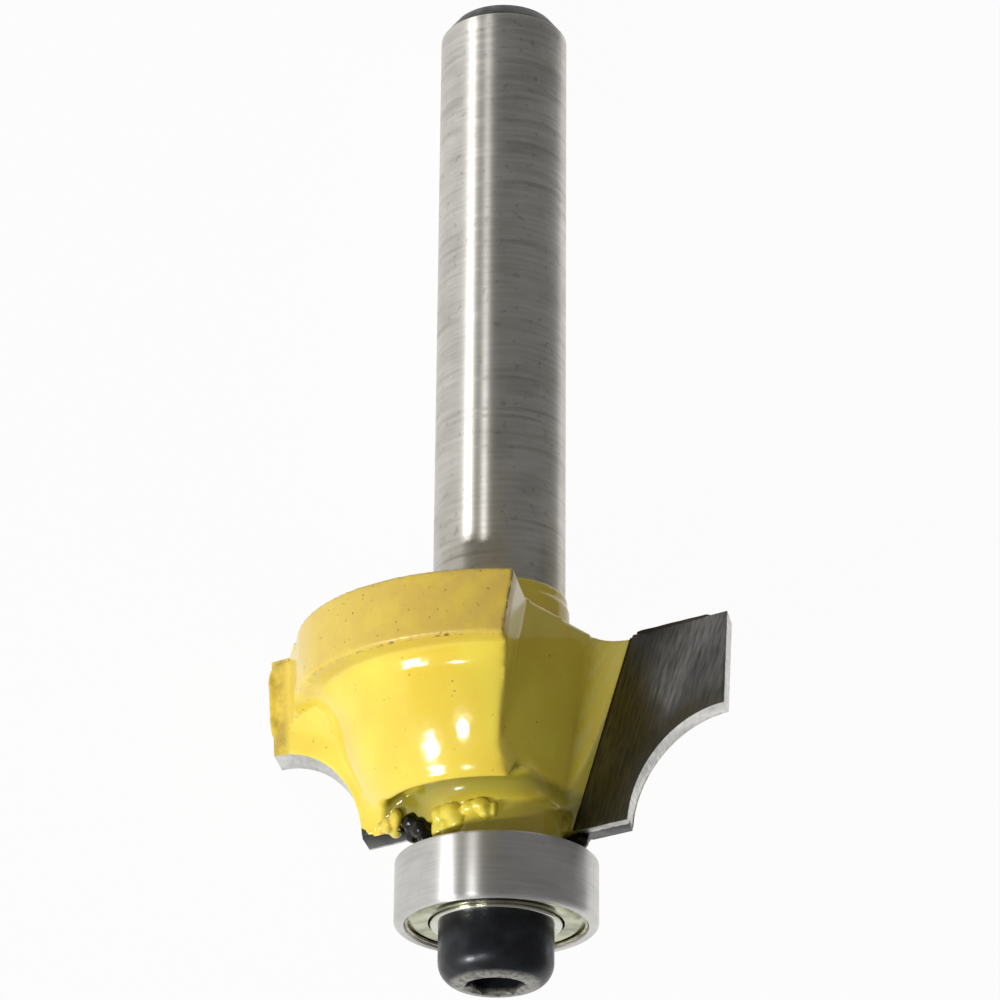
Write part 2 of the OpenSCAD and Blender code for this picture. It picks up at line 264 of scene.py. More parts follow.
@dataclass(frozen=True)
class GroundSteel(Finish):
    """Steel ground round and round on a centreless grinder.

    Fine rings run round it, so a lamp's reflection is drawn out along the bit,
    and handling leaves cloudy patches, a few dull spots, dull rings where
    collets grip it and one bright mark.
    """

    name: str
    light: str = "e2dfd9"
    dark: str = "c3c0b8"
    roughness: float = 0.4
    roughness_spread: float = 0.05
    ring_spacing: float = 0.2
    ring_height: float = 0.0002
    along: float = 1.0
    stain: str = "8f8b82"
    stained: float = 0.4
    dull_rings: float = 0.0
    mark: str = "d8d4cc"
    marked: float = 0.3
    mark_at: float = -1.0
    mark_width: float = 0.1

    def surface(self, add: Add) -> dict[str, object]:
        """Adds the finish's nodes.

        Args:
            add: add_node for the material's tree.

        Returns:
            The Principled shader's inputs.
        """
        place = bit_place(add)
        z = add("SeparateXYZ", {0: place}).outputs["Z"]
        squeeze = (0.35, 0.35, 1 / self.ring_spacing)
        squeezed = add("Mapping", {"Vector": place, "Scale": squeeze})
        rings = add("TexNoise", {"Vector": squeezed, "Scale": 1.0, "Detail": 3.0})
        cloud = add("TexNoise", {"Vector": place, "Scale": 0.45, "Detail": 4.0})
        tone = add("Math", {0: rings, 1: cloud}, operation="ADD")
        tint = add("MapRange", {"Value": tone, "From Min": 0.72, "From Max": 1.28})
        spots = add("TexNoise", {"Vector": place, "Scale": 2.6, "Detail": 2.0})
        spotty = add("MapRange", {"Value": spots, "From Min": 0.62, "From Max": 0.74})
        stained = add("Math", {0: spotty, 1: self.stained}, operation="MULTIPLY")
        on_mark = add(
            "Math", {0: z, 1: self.mark_at, 2: self.mark_width}, operation="COMPARE"
        )
        marked = add("Math", {0: on_mark, 1: self.marked}, operation="MULTIPLY")
        base = linear(self.dark)
        layers = ((tint, self.light), (stained, self.stain), (marked, self.mark))
        for share, layer in layers:
            base = add("Mix", {0: share, 6: base, 7: linear(layer)}, data_type="RGBA")
        rough = add(
            "MapRange",
            {
                "Value": tone,
                "From Min": 0.7,
                "From Max": 1.3,
                "To Min": self.roughness + self.roughness_spread,
                "To Max": self.roughness - self.roughness_spread,
            },
        )

        # Dull rings crowd towards the shank's end, where collets grip it
        wide = add("Mapping", {"Vector": place, "Scale": (0.1, 0.1, 2.4)})
        worn = add("TexNoise", {"Vector": wide, "Scale": 1.0, "Detail": 4.0})
        near_end = add(
            "MapRange",
            {
                "Value": z,
                "From Min": 2.0,
                "From Max": 16.0,
                "To Min": 0.12,
                "To Max": 0.0,
            },
        )
        gripped = add("Math", {0: worn, 1: near_end}, operation="ADD")
        dull = add(
            "MapRange",
            {
                "Value": gripped,
                "From Min": 0.58,
                "From Max": 0.66,
                "To Max": self.dull_rings,
            },
        )
        bump = add("Bump", {"Height": rings, "Distance": self.ring_height * MM})
        return {
            "Base Color": base,
            "Roughness": add("Math", {0: rough, 1: dull}, operation="ADD"),
            "Normal": bump,
            "Tangent": add("CombineXYZ", dict(enumerate(AXIS))),
            "Metallic": 1.0,
            "Anisotropic": self.along,
        }


@dataclass(frozen=True)
class HeadPoint:
    """What the enamel's layers read of a point on the head.

    Lengths are in the bit's millimetres. side is 1 or -1 for the half of the
    bit that the point is on, by its y, and turned_x is x with the second half
    turned onto the first; reach is x without its sign.
    """

    add: Add
    place: Node
    x: NodeSocket
    y: NodeSocket
    z: NodeSocket
    out: Node
    side: Node
    reach: Node
    turned_x: Node
    mottle: Node
    ragged: Node

    @classmethod
    def read(cls, add: Add) -> "HeadPoint":
        """Adds the nodes that measure a point.

        Args:
            add: add_node for the material's tree.

        Returns:
            The point.
        """
        place = bit_place(add)
        x, y, z = add("SeparateXYZ", {0: place}).outputs
        side = add("Math", {0: y}, operation="SIGN")
        return cls(
            add=add,
            place=place,
            x=x,
            y=y,
            z=z,
            out=distance_out(add, place),
            side=side,
            reach=add("Math", {0: x}, operation="ABSOLUTE"),
            turned_x=add("Math", {0: x, 1: side}, operation="MULTIPLY"),
            mottle=add("TexNoise", {"Vector": place, "Scale": 1.1, "Detail": 5.0}),
            ragged=add("TexNoise", {"Vector": place, "Scale": 3.0, "Detail": 4.0}),
        )


@dataclass(frozen=True)
class YellowEnamel(Finish):
    """Glossy yellow stoving enamel over steel.

    It is a smooth, slightly wavy film, with pale ripples beside each rake
    face, where it was wiped while wet. On the band it is thin and satin, so
    that its tan primer shows, and dust specks are baked into it; more of the
    tan towards the band's far end is painted shade. Dirt lies along the band's
    edges, a greenish olive low in the channel is painted shade, and the ends
    of the tips' backs are bare and black.
    """

    name: str = "yellow_stoving_enamel"
    bright: str = "f4e053"
    deep: str = "efd14a"
    thin: str = "ddbb57"
    smear: str = "b89c3c"
    channel_shade: str = "6f691f"
    speck: str = "6a5a24"
    bare: str = "191815"
    roughness: float = 0.12
    satin: float = 0.42
    peel_height: float = 0.009
    # The band's depth and the radius past which the film is thin
    band_depth: float = 3.15
    band_r: float = 8.6
    band_edge_r: float = 9.6
    # The plane of the facet at the band's end
    facet: tuple[float, float, float] = (0.886, -0.438, 0.15)
    facet_at: float = 7.32
    # The bare end of a tip's back: its depth where the tip is widest, and how
    # much deeper it lies for each millimetre nearer the axis
    bare_depth: float = 8.97
    bare_reach: float = 5.52
    bare_slope: float = 0.75
    # How dark the channel's painted shade is, and the depths where it starts and is full
    channel_shaded: float = 0.8
    channel_shade_from: float = 7.85
    channel_shade_full: float = 8.25
    ripple: str = "f3e9a4"
    ripple_width: float = 0.16
    ripple_lean: float = 0.31
    ripple_height: float = 2.0

    def thin_share(self, at: HeadPoint, on_band: Node) -> Node:
        """Finds the thin film on the band, with more of it towards its far end as painted
        shade.

        Args:
            at: the point on the head.
            on_band: the band's share of the point.

        Returns:
            The thin film's share.
        """
        wear = at.add(
            "MapRange",
            {"Value": at.mottle, "From Min": 0.35, "From Max": 0.6, "To Min": 0.6},
        )
        # Painted shade: more of the darker tan towards the band's far end
        wear_and_shade = at.add(
            "MapRange",
            {"Value": at.turned_x, "From Min": -8.0, "From Max": 2.0, "To Min": 0.3},
        )
        thin_here = at.add("Math", {0: on_band, 1: wear_and_shade}, operation="MULTIPLY")
        return at.add("Math", {0: thin_here, 1: wear}, operation="MULTIPLY")

    def smear_share(self, at: HeadPoint) -> Node:
        """Finds the dirty smear down the outer part of each wing's back.

        Args:
            at: the point on the head.

        Returns:
            The smear's share.
        """
        far = at.add("MapRange", {"Value": at.reach, "From Min": 9.5, "From Max": 9.9})
        patch = at.add(
            "MapRange", {"Value": at.mottle, "From Min": 0.36, "From Max": 0.56}
        )
        share = at.add("Math", {0: far, 1: patch}, operation="MULTIPLY")
        return at.add("Math", {0: share, 1: 0.85}, operation="MULTIPLY")

    def speck_share(self, at: HeadPoint, on_band: Node) -> Node:
        """Finds dust specks of 0.1 mm or so, most of them on the band.

        Args:
            at: the point on the head.
            on_band: the band's share of the point.

        Returns:
            The specks' share.
        """
        dust = at.add("TexVoronoi", {"Vector": at.place, "Scale": 3.0})
        grain = at.add("SeparateColor", {0: dust.outputs["Color"]})
        size = at.add(
            "MapRange",
            {
                "Value": dust,
                "From Min": 0.06,
                "From Max": 0.2,
                "To Min": 1.0,
                "To Max": 0.0,
            },
        )
        dark = at.add("Math", {0: size, 1: grain}, operation="MULTIPLY")
        sparse = at.add(
            "Math", {0: on_band, 1: 0.12, 2: at.mottle}, operation="MULTIPLY_ADD"
        )
        dusty = at.add(
            "MapRange", {"Value": sparse, "From Min": 0.55, "From Max": 0.62}
        )
        return at.add("Math", {0: dark, 1: dusty}, operation="MULTIPLY")

    def line_share(self, at: HeadPoint, above: Node) -> Node:
        """Finds dirt in a broken line under the band and down the crack at its end.

        Args:
            at: the point on the head.
            above: the share above the band's lower edge.

        Returns:
            The line's share.
        """
        add = at.add
        edge = -(SHOULDER + self.band_depth + 0.02)
        from_edge = add("Math", {0: at.z, 1: edge}, operation="ADD")
        edge_gap = add("Math", {0: from_edge}, operation="ABSOLUTE")
        flat = (*self.facet[:2], 0.0)
        facing = add("VectorMath", {0: at.place, 1: flat}, operation="DOT_PRODUCT")
        turned = add("Math", {0: facing, 1: at.side}, operation="MULTIPLY")
        past = add(
            "Math", {0: at.z, 1: self.facet[2], 2: turned}, operation="MULTIPLY_ADD"
        )
        from_facet = add("Math", {0: past, 1: -self.facet_at}, operation="ADD")
        facet_gap = add("Math", {0: from_facet}, operation="ABSOLUTE")
        # Below the band's edge the facet's line is pushed out of reach
        pulled = add(
            "Math", {0: above, 1: -5.0, 2: facet_gap}, operation="MULTIPLY_ADD"
        )
        facet_line = add("Math", {0: pulled, 1: 5.0}, operation="ADD")
        nearest = add("Math", {0: edge_gap, 1: facet_line}, operation="MINIMUM")
        broken = add(
            "Math", {0: at.ragged, 1: -0.5, 2: nearest}, operation="MULTIPLY_ADD"
        )
        crack = add(
            "MapRange",
            {
                "Value": broken,
                "From Min": -0.29,
                "From Max": -0.22,
                "To Min": 0.9,
                "To Max": 0.0,
            },
        )
        at_edge = add(
            "Math", {0: at.out, 1: self.band_edge_r, 2: 0.22}, operation="COMPARE"
        )
        near_end = add(
            "MapRange",
            {"Value": at.turned_x, "From Min": -2.5, "From Max": 2.5, "To Min": 0.25},
        )
        share = add("Math", {0: at_edge, 1: near_end}, operation="MULTIPLY")
        return add("Math", {0: crack, 1: share}, operation="MULTIPLY")

    def channel_shade_share(self, at: HeadPoint) -> Node:
        """Finds the painted shade low in the channel between the rim and the boss.

        Args:
            at: the point on the head.

        Returns:
            The painted shade's share.
        """
        depth = at.add(
            "Math", {0: at.mottle, 1: 0.5, 2: at.z}, operation="MULTIPLY_ADD"
        )
        low = at.add(
            "MapRange",
            {
                "Value": depth,
                "From Min": SHOULDER + self.channel_shade_from,
                "From Max": SHOULDER + self.channel_shade_full,
                "To Max": self.channel_shaded,
            },
        )
        inside = at.add("MapRange", {"Value": at.out, "From Min": 5.5, "From Max": 5.2})
        # The painted shade fades to half on the boss itself
        fades_on_boss = at.add(
            "MapRange",
            {"Value": at.out, "From Min": 3.2, "From Max": 4.0, "To Min": 0.5},
        )
        left = at.add("Math", {0: low, 1: fades_on_boss}, operation="MULTIPLY")
        return at.add("Math", {0: left, 1: inside}, operation="MULTIPLY")

    def ripple_share(self, at: HeadPoint) -> Node:
        """Finds the crests of the ripples along each rake face's inner edge.

        Args:
            at: the point on the head.

        Returns:
            The crests' share.
        """
        add = at.add
        across = add("Math", {0: at.x}, operation="SIGN")
        before = add("Math", {0: at.y, 1: across}, operation="MULTIPLY")
        start = RAKE_OFFSET + SHOULDER * RAKE_LEAN
        leant = add(
            "Math", {0: at.z, 1: -RAKE_LEAN, 2: start}, operation="MULTIPLY_ADD"
        )
        ahead = add("Math", {0: before, 1: leant}, operation="ADD")
        beside = add("MapRange", {"Value": ahead, "From Min": 1.5, "From Max": 0.9})
        in_front = add("Math", {0: ahead, 1: -0.12}, operation="GREATER_THAN")
        here = add("Math", {0: beside, 1: in_front}, operation="MULTIPLY")
        from_tip = add(
            "Math",
            {0: at.z, 1: self.ripple_lean, 2: at.reach},
            operation="MULTIPLY_ADD",
        )
        along_tip = add("CombineXYZ", {0: from_tip, 1: 0.0, 2: at.z})
        squeeze = (1 / self.ripple_width, 1.0, 0.25)
        drawn = add("Mapping", {"Vector": along_tip, "Scale": squeeze})
        ripples = add("TexNoise", {"Vector": drawn, "Scale": 1.0, "Detail": 3.0})
        crests = add(
            "MapRange",
            {"Value": ripples, "From Min": 0.45, "From Max": 0.7, "To Max": 0.55},
        )
        return add("Math", {0: crests, 1: here}, operation="MULTIPLY")

    def bare_share(self, at: HeadPoint) -> Node:
        """Finds the unpainted ends of the tips' backs.

        Args:
            at: the point on the head.

        Returns:
            The bare ends' share.
        """
        add = at.add
        slanted = add(
            "Math", {0: at.reach, 1: self.bare_slope, 2: at.z}, operation="MULTIPLY_ADD"
        )
        ragged = add(
            "Math", {0: at.ragged, 1: 0.7, 2: slanted}, operation="MULTIPLY_ADD"
        )
        edge = SHOULDER + self.bare_depth + self.bare_slope * self.bare_reach + 0.35
        past = add(
            "MapRange", {"Value": ragged, "From Min": edge, "From Max": edge + 0.05}
        )
        at_tip = add("MapRange", {"Value": at.out, "From Min": 4.5, "From Max": 4.6})
        lowest = SHOULDER + self.bare_depth - 0.4
        low = add("Math", {0: at.z, 1: lowest}, operation="GREATER_THAN")
        here = add("Math", {0: past, 1: at_tip}, operation="MULTIPLY")
        return add("Math", {0: here, 1: low}, operation="MULTIPLY")

    def surface(self, add: Add) -> dict[str, object]:
        """Adds the finish's nodes, layer over layer.

        Args:
            add: add_node for the material's tree.

        Returns:
            The Principled shader's inputs.
        """
        at = HeadPoint.read(add)
        cloud = add("TexNoise", {"Vector": at.place, "Scale": 0.24, "Detail": 3.0})
        drift = add("MapRange", {"Value": cloud, "From Min": 0.38, "From Max": 0.62})
        edge = SHOULDER + self.band_depth
        above = add(
            "MapRange",
            {"Value": at.z, "From Min": edge + 0.05, "From Max": edge - 0.05},
        )
        outer = add(
            "MapRange",
            {
                "Value": at.out,
                "From Min": self.band_r - 0.3,
                "From Max": self.band_r + 0.3,
            },
        )
        on_band = add("Math", {0: above, 1: outer}, operation="MULTIPLY")
        thin = self.thin_share(at, on_band)
        line, specks = self.line_share(at, above), self.speck_share(at, on_band)
        ripples = self.ripple_share(at)
        bare = self.bare_share(at)
        base = linear(self.bright)
        for share, layer in (
            (drift, self.deep),
            (thin, self.thin),
            (self.smear_share(at), self.smear),
            (add("Math", {0: line, 1: specks}, operation="MAXIMUM"), self.speck),
            # painted shade low in the channel
            (self.channel_shade_share(at), self.channel_shade),
            (ripples, self.ripple),
            (bare, self.bare),
        ):
            base = add("Mix", {0: share, 6: base, 7: linear(layer)}, data_type="RGBA")
        height = add(
            "Math",
            {0: ripples, 1: self.ripple_height, 2: at.mottle},
            operation="MULTIPLY_ADD",
        )
        dull = add("Math", {0: thin, 1: bare}, operation="MAXIMUM")
        bump = add("Bump", {"Height": height, "Distance": self.peel_height * MM})
        return {
            "Base Color": base,
            "Roughness": add(
                "MapRange",
                {"Value": dull, "To Min": self.roughness, "To Max": self.satin},
            ),
            "Normal": bump,
            "IOR": 1.5,
        }


@dataclass(frozen=True)
class TipCarbide(Finish):
    """Sintered tungsten carbide, dark on its rake face and grey where ground.

    Grinding leaves long streaks along the tip's inner edge on the rake face
    and short lines across the ground lands; the blank's lower end, behind its
    land, keeps a dark skin from the furnace.
    """

    name: str
    light: str
    dark: str
    skin: str = "24221e"
    roughness: float = 0.36
    roughness_spread: float = 0.08
    streak_width: float = 0.13
    streak_length: float = 6.0
    lean: float = math.radians(15)
    line_height: float = 0.0006
    skin_behind: float = 0.32
    skin_below: float = 9.3
    # How much further behind the rake face the skin starts on tip 1's side of
    # the bit, and how much nearer to it on tip 2's
    skin_uneven: float = 0.17

    def skin_share(self, add: Add, place: Node) -> Node:
        """Finds the dark skin behind the land, by its distance from the rake face.

        Args:
            add: add_node for the material's tree.
            place: the point's place, from bit_place.

        Returns:
            The skin's share.
        """
        x, y, z = add("SeparateXYZ", {0: place}).outputs
        side = add("Math", {0: x}, operation="SIGN")
        across = add("Math", {0: y, 1: side}, operation="MULTIPLY")
        start = -RAKE_OFFSET - SHOULDER * RAKE_LEAN
        leant = add("Math", {0: z, 1: RAKE_LEAN, 2: start}, operation="MULTIPLY_ADD")
        behind = add("Math", {0: leant, 1: across}, operation="SUBTRACT")
        ragged = add("TexNoise", {"Vector": place, "Scale": 2.4, "Detail": 3.0})
        reach = add("Math", {0: ragged, 1: 0.35, 2: behind}, operation="MULTIPLY_ADD")
        uneven = add(
            "Math", {0: side, 1: -self.skin_uneven, 2: reach}, operation="MULTIPLY_ADD"
        )
        near = self.skin_behind + 0.17
        back = add(
            "MapRange",
            {"Value": uneven, "From Min": near, "From Max": self.skin_behind + 0.23},
        )
        edge = SHOULDER + self.skin_below
        low = add("MapRange", {"Value": z, "From Min": edge, "From Max": edge + 0.05})
        return add("Math", {0: back, 1: low}, operation="MULTIPLY")

    def surface(self, add: Add) -> dict[str, object]:
        """Adds the finish's nodes.

        Args:
            add: add_node for the material's tree.

        Returns:
            The Principled shader's inputs.
        """
        place = bit_place(add)
        alike = add("VectorMath", {0: place}, operation="ABSOLUTE")
        leaning = add("Mapping", {"Vector": alike, "Rotation": (0, self.lean, 0)})
        squeeze = (*(1 / self.streak_width,) * 2, 1 / self.streak_length)
        drawn = add("Mapping", {"Vector": leaning, "Scale": squeeze})
        streaks = add("TexNoise", {"Vector": drawn, "Scale": 1.0, "Detail": 4.0})
        cloud = add("TexNoise", {"Vector": place, "Scale": 0.35, "Detail": 3.0})
        tone = add("Math", {0: streaks, 1: cloud}, operation="ADD")
        tint = add("MapRange", {"Value": tone, "From Min": 0.72, "From Max": 1.28})
        base = linear(self.dark)
        skin = self.skin_share(add, place)
        for share, layer in ((tint, self.light), (skin, self.skin)):
            base = add("Mix", {0: share, 6: base, 7: linear(layer)}, data_type="RGBA")
        rough = add(
            "MapRange",
            {
                "Value": tone,
                "From Min": 0.7,
                "From Max": 1.3,
                "To Min": self.roughness + self.roughness_spread,
                "To Max": self.roughness - self.roughness_spread,
            },
        )
        bump = add("Bump", {"Height": streaks, "Distance": self.line_height * MM})
        return {
            "Base Color": base,
            "Roughness": rough,
            "Normal": bump,
            "Metallic": 1.0,
        }


@dataclass(frozen=True)
class BlackOxide(Finish):
    """Hardened steel with a hot black oxide finish, a little oily.

    The rim round the socket is worn back to grey steel by the key.
    """

    name: str = "black_oxide_steel"
    black: str = "1c1d21"
    oily: str = "2b2d32"
    worn: str = "8f8d84"
    roughness: float = 0.36
    metallic: float = 0.55
    pit_depth: float = 0.006
    worn_from: float = 50.3
    worn_r: float = 2.05

    def worn_share(self, add: Add, place: Node, wear_and_shade: Node) -> Node:
        """Finds the rubbed rim round the socket.

        Args:
            add: add_node for the material's tree.
            place: the point's place, from bit_place.
            wear_and_shade: the noise that makes the rubbing patchy.

        Returns:
            The worn steel's share.
        """
        z = add("SeparateXYZ", {0: place}).outputs["Z"]
        high = add(
            "MapRange",
            {"Value": z, "From Min": self.worn_from, "From Max": self.worn_from + 0.2},
        )
        near = add(
            "MapRange",
            {
                "Value": distance_out(add, place),
                "From Min": self.worn_r + 0.15,
                "From Max": self.worn_r - 0.1,
            },
        )
        patchy = add("MapRange", {"Value": wear_and_shade, "From Min": 0.25, "From Max": 0.55})
        edge = add("Math", {0: high, 1: near}, operation="MULTIPLY")
        return add("Math", {0: edge, 1: patchy}, operation="MULTIPLY")

    def surface(self, add: Add) -> dict[str, object]:
        """Adds the finish's nodes.

        Args:
            add: add_node for the material's tree.

        Returns:
            The Principled shader's inputs.
        """
        place = bit_place(add)
        film = add("TexNoise", {"Vector": place, "Scale": 1.4, "Detail": 4.0})
        oiled = add("MapRange", {"Value": film, "From Min": 0.4, "From Max": 0.68})
        wear_and_shade = add("TexNoise", {"Vector": place, "Scale": 3.5, "Detail": 3.0})
        worn = self.worn_share(add, place, wear_and_shade)
        base = linear(self.black)
        for share, layer in ((oiled, self.oily), (worn, self.worn)):
            base = add("Mix", {0: share, 6: base, 7: linear(layer)}, data_type="RGBA")
        rough = add(
            "MapRange",
            {
                "Value": film,
                "From Min": 0.3,
                "From Max": 0.7,
                "To Min": self.roughness + 0.08,
                "To Max": self.roughness - 0.1,
            },
        )
        bump = add("Bump", {"Height": wear_and_shade, "Distance": self.pit_depth * MM})
        return {
            "Base Color": base,
            "Roughness": rough,
            "Normal": bump,
            "Metallic": self.metallic,
        }


@dataclass(frozen=True)
class MottledFinish(Finish):
    """A plain material whose colour and gloss wander a little.

    It serves the chamfer's scale and the small pieces: braze, flux, shields,
    clips, balls and cage.
    """

    name: str
    light: str
    dark: str
    metallic: float
    roughness: float
    patch: float
    bump_height: float = 0.002
    spread: float = 0.06
    ior: float = 1.5

    def surface(self, add: Add) -> dict[str, object]:
        """Adds the finish's nodes.

        Args:
            add: add_node for the material's tree.

        Returns:
            The Principled shader's inputs.
        """
        place = bit_place(add)
        patches = add(
            "TexNoise", {"Vector": place, "Scale": 1 / self.patch, "Detail": 4.0}
        )
        tint = add("MapRange", {"Value": patches, "From Min": 0.35, "From Max": 0.65})
        rough = add(
            "MapRange",
            {
                "Value": patches,
                "From Min": 0.3,
                "From Max": 0.7,
                "To Min": self.roughness + self.spread,
                "To Max": self.roughness - self.spread,
            },
        )
        bump = add("Bump", {"Height": patches, "Distance": self.bump_height * MM})
        return {
            "Base Color": add(
                "Mix",
                {0: tint, 6: linear(self.dark), 7: linear(self.light)},
                data_type="RGBA",
            ),
            "Roughness": rough,
            "Normal": bump,
            "Metallic": self.metallic,
            "IOR": self.ior,
        }


@dataclass
class Looks:
    """The materials that several pieces share."""

    enamel: Material
    run_enamel: Material
    ground: Material
    sintered: Material
    braze: Material
    flux: Material
    ring: Material
    bright_ring: Material
    shield: Material
    clip: Material
    ball: Material
    nylon: Material

    @classmethod
    def mix(cls) -> "Looks":
        """Makes each shared material once.

        Returns:
            The materials.
        """
        finishes = {
            "enamel": YellowEnamel(),
            "run_enamel": YellowEnamel(
                # The drips take only a little of the channel's painted shade
                name="enamel_that_ran", channel_shaded=0.12, bare_depth=20.0
            ),
            "ground": TipCarbide(
                name="ground_carbide_land",
                light="d6d5d2",
                dark="a9a7a1",
                roughness=0.34,
                streak_width=0.9,
                streak_length=0.12,
                lean=0.0,
            ),
            "sintered": TipCarbide(
                name="sintered_carbide_rake", light="7b7976", dark="4a4947"
            ),
            "braze": MottledFinish(
                name="browned_silver_braze",
                light="3a2a1c",
                dark="1a130d",
                metallic=0.3,
                roughness=0.5,
                patch=0.4,
                bump_height=0.02,
            ),
            "flux": MottledFinish(
                name="glassy_black_flux",
                light="1a160c",
                dark="090806",
                metallic=0.0,
                roughness=0.2,
                patch=0.5,
                bump_height=0.02,
                ior=1.33,
            ),
            "ring": GroundSteel(
                name="ground_bearing_steel",
                light="d9d7d4",
                dark="c9c7c3",
                roughness=0.42,
                roughness_spread=0.03,
                ring_spacing=0.15,
                ring_height=0.00015,
                stained=0.12,
            ),
            "bright_ring": GroundSteel(
                name="polished_bearing_steel",
                light="d6d5cb",
                dark="b9b8aa",
                roughness=0.2,
                ring_spacing=0.09,
                along=0.2,
            ),
            "shield": MottledFinish(
                name="greased_shield_steel",
                light="b9bb9c",
                dark="7c8066",
                metallic=1.0,
                roughness=0.2,
                patch=1.0,
                bump_height=0.012,
            ),
            "clip": MottledFinish(
                name="spring_wire",
                light="b6b09a",
                dark="77725e",
                metallic=1.0,
                roughness=0.25,
                patch=0.6,
            ),
            "ball": MottledFinish(
                name="chrome_ball_steel",
                light="e2e2e2",
                dark="cfcfcf",
                metallic=1.0,
                roughness=0.08,
                patch=0.8,
                bump_height=0.0002,
                spread=0.02,
            ),
            "nylon": MottledFinish(
                name="moulded_nylon",
                light="d8c39b",
                dark="c2a878",
                metallic=0.0,
                roughness=0.5,
                patch=0.7,
            ),
        }
        return cls(**{use: finish.make() for use, finish in finishes.items()})


# ---- Modelling by hand ----

# How finely a ridge is followed, and how near two corners are merged
RIDGE_STEPS = 8
MERGE = 1e-4


def clear_selection() -> None:
    """Deselects everything, so that an operator acts on nothing else."""
    for obj in bpy.context.view_layer.objects:
        obj.select_set(False)


def only(obj: Object) -> None:
    """Selects one object alone and makes it the active one.

    Args:
        obj: the object.
    """
    clear_selection()
    obj.select_set(True)
    bpy.context.view_layer.objects.active = obj


def mode(name: str) -> None:
    """Switches the active object to object mode or edit mode."""
    bpy.ops.object.mode_set(mode=name)


def all_selected() -> None:
    """Selects the whole mesh in edit mode."""
    bpy.ops.mesh.select_all(action="SELECT")


def started(name: str, primitive: Callable[..., object], **sizes: object) -> Object:
    """Adds a primitive, alone in the selection, to be shaped further.

    Args:
        name: the piece's name.
        primitive: the operator that adds it.
        **sizes: the operator's own settings.

    Returns:
        The new object, in object mode.
    """
    clear_selection()
    primitive(**sizes)
    obj = bpy.context.object
    obj.name = obj.data.name = name
    return obj


@contextmanager
def editing(obj: Object) -> Iterator[None]:
    """Opens one object in edit mode, all selected, and closes it afterwards.

    Args:
        obj: the object.

    Returns:
        A context, in which the object stays open.
    """
    only(obj)
    mode("EDIT")
    all_selected()
    yield
    mode("OBJECT")


def ease(obj: Object, ridge: Sequence[Vector], reach: float, times: int) -> None:
    """Smooths the skin near a ridge, as thick paint rounds it.

    Args:
        obj: the object, in object mode.
        ridge: points along the ridge.
        reach: how far from the ridge the skin is smoothed, in millimetres.
        times: how often it is smoothed.
    """
    with editing(obj):
        bpy.ops.mesh.select_mode(type="VERT")
        bpy.ops.mesh.select_all(action="DESELECT")
        shape = bmesh.from_edit_mesh(obj.data)
        shape.verts.ensure_lookup_table()
        near = KDTree(len(shape.verts))
        for vertex in shape.verts:
            near.insert(vertex.co, vertex.index)
        near.balance()
        for start, end in zip(ridge, ridge[1:]):
            for step in range(RIDGE_STEPS + 1):
                spot = start.lerp(end, step / RIDGE_STEPS)
                for _, index, _ in near.find_range(spot, reach):
                    shape.verts[index].select = True
        shape.select_flush(True)
        bmesh.update_edit_mesh(obj.data)
        bpy.ops.mesh.vertices_smooth(factor=0.5, repeat=times)


def skinned(parts: Sequence[Object], voxel: float, soften: int) -> Object:
    """Joins parts into the first of them and runs one smooth skin over all.

    Args:
        parts: the parts, which overlap.
        voxel: the skin's grain in millimetres.
        soften: how often the skin is smoothed.

    Returns:
        The first part, which now holds them all.
    """
    clear_selection()
    for part in parts:
        part.select_set(True)
    bpy.context.view_layer.objects.active = parts[0]
    bpy.ops.object.join()
    apply_modifier(parts[0], "REMESH", mode="VOXEL", voxel_size=voxel, adaptivity=0)
    apply_modifier(parts[0], "SMOOTH", factor=0.5, iterations=soften)
    only(parts[0])
    bpy.ops.object.shade_smooth()
    return parts[0]


def assign(obj: Object, index: int, test: Test) -> None:
    """Gives the faces that pass a test one of the object's materials.

    Args:
        obj: the object, in object mode.
        index: the material's place in the object's list.
        test: takes a face's centre and normal.
    """
    for face in obj.data.polygons:
        if test(face.center, face.normal):
            face.material_index = index


def apply_modifier(obj: Object, kind: str, **settings: object) -> None:
    """Adds a modifier with its settings and applies it.

    Args:
        obj: the object to change.
        kind: the modifier's type.
        **settings: the modifier's own properties.
    """
    only(obj)
    modifier = obj.modifiers.new(kind.lower(), kind)
    for name, value in settings.items():
        setattr(modifier, name, value)
    bpy.ops.object.modifier_apply(modifier=modifier.name)


def soften_edges(obj: Object, width: float) -> None:
    """Rounds every sharp edge a little and shades the rest smooth.

    Args:
        obj: the object to finish.
        width: the rounding's width in millimetres.
    """
    apply_modifier(
        obj,
        "BEVEL",
        width=width,
        segments=2,
        limit_method="ANGLE",
        angle_limit=math.radians(25),
        use_clamp_overlap=True,
    )
    only(obj)
    bpy.ops.object.shade_smooth_by_angle(angle=math.radians(30))


def start_point(name: str, at: tuple[float, float]) -> Object:
    """Starts a mesh as one vertex of a half outline, left in edit mode.

    Args:
        name: the piece's name.
        at: the vertex's radius and height.

    Returns:
        The new object, in edit mode with its vertex selected.
    """
    obj = started(name, bpy.ops.mesh.primitive_plane_add, size=0.1)
    mode("EDIT")
    all_selected()
    bpy.ops.mesh.merge(type="CENTER")
    bpy.ops.transform.translate(value=(at[0], 0, at[1]))
    return obj


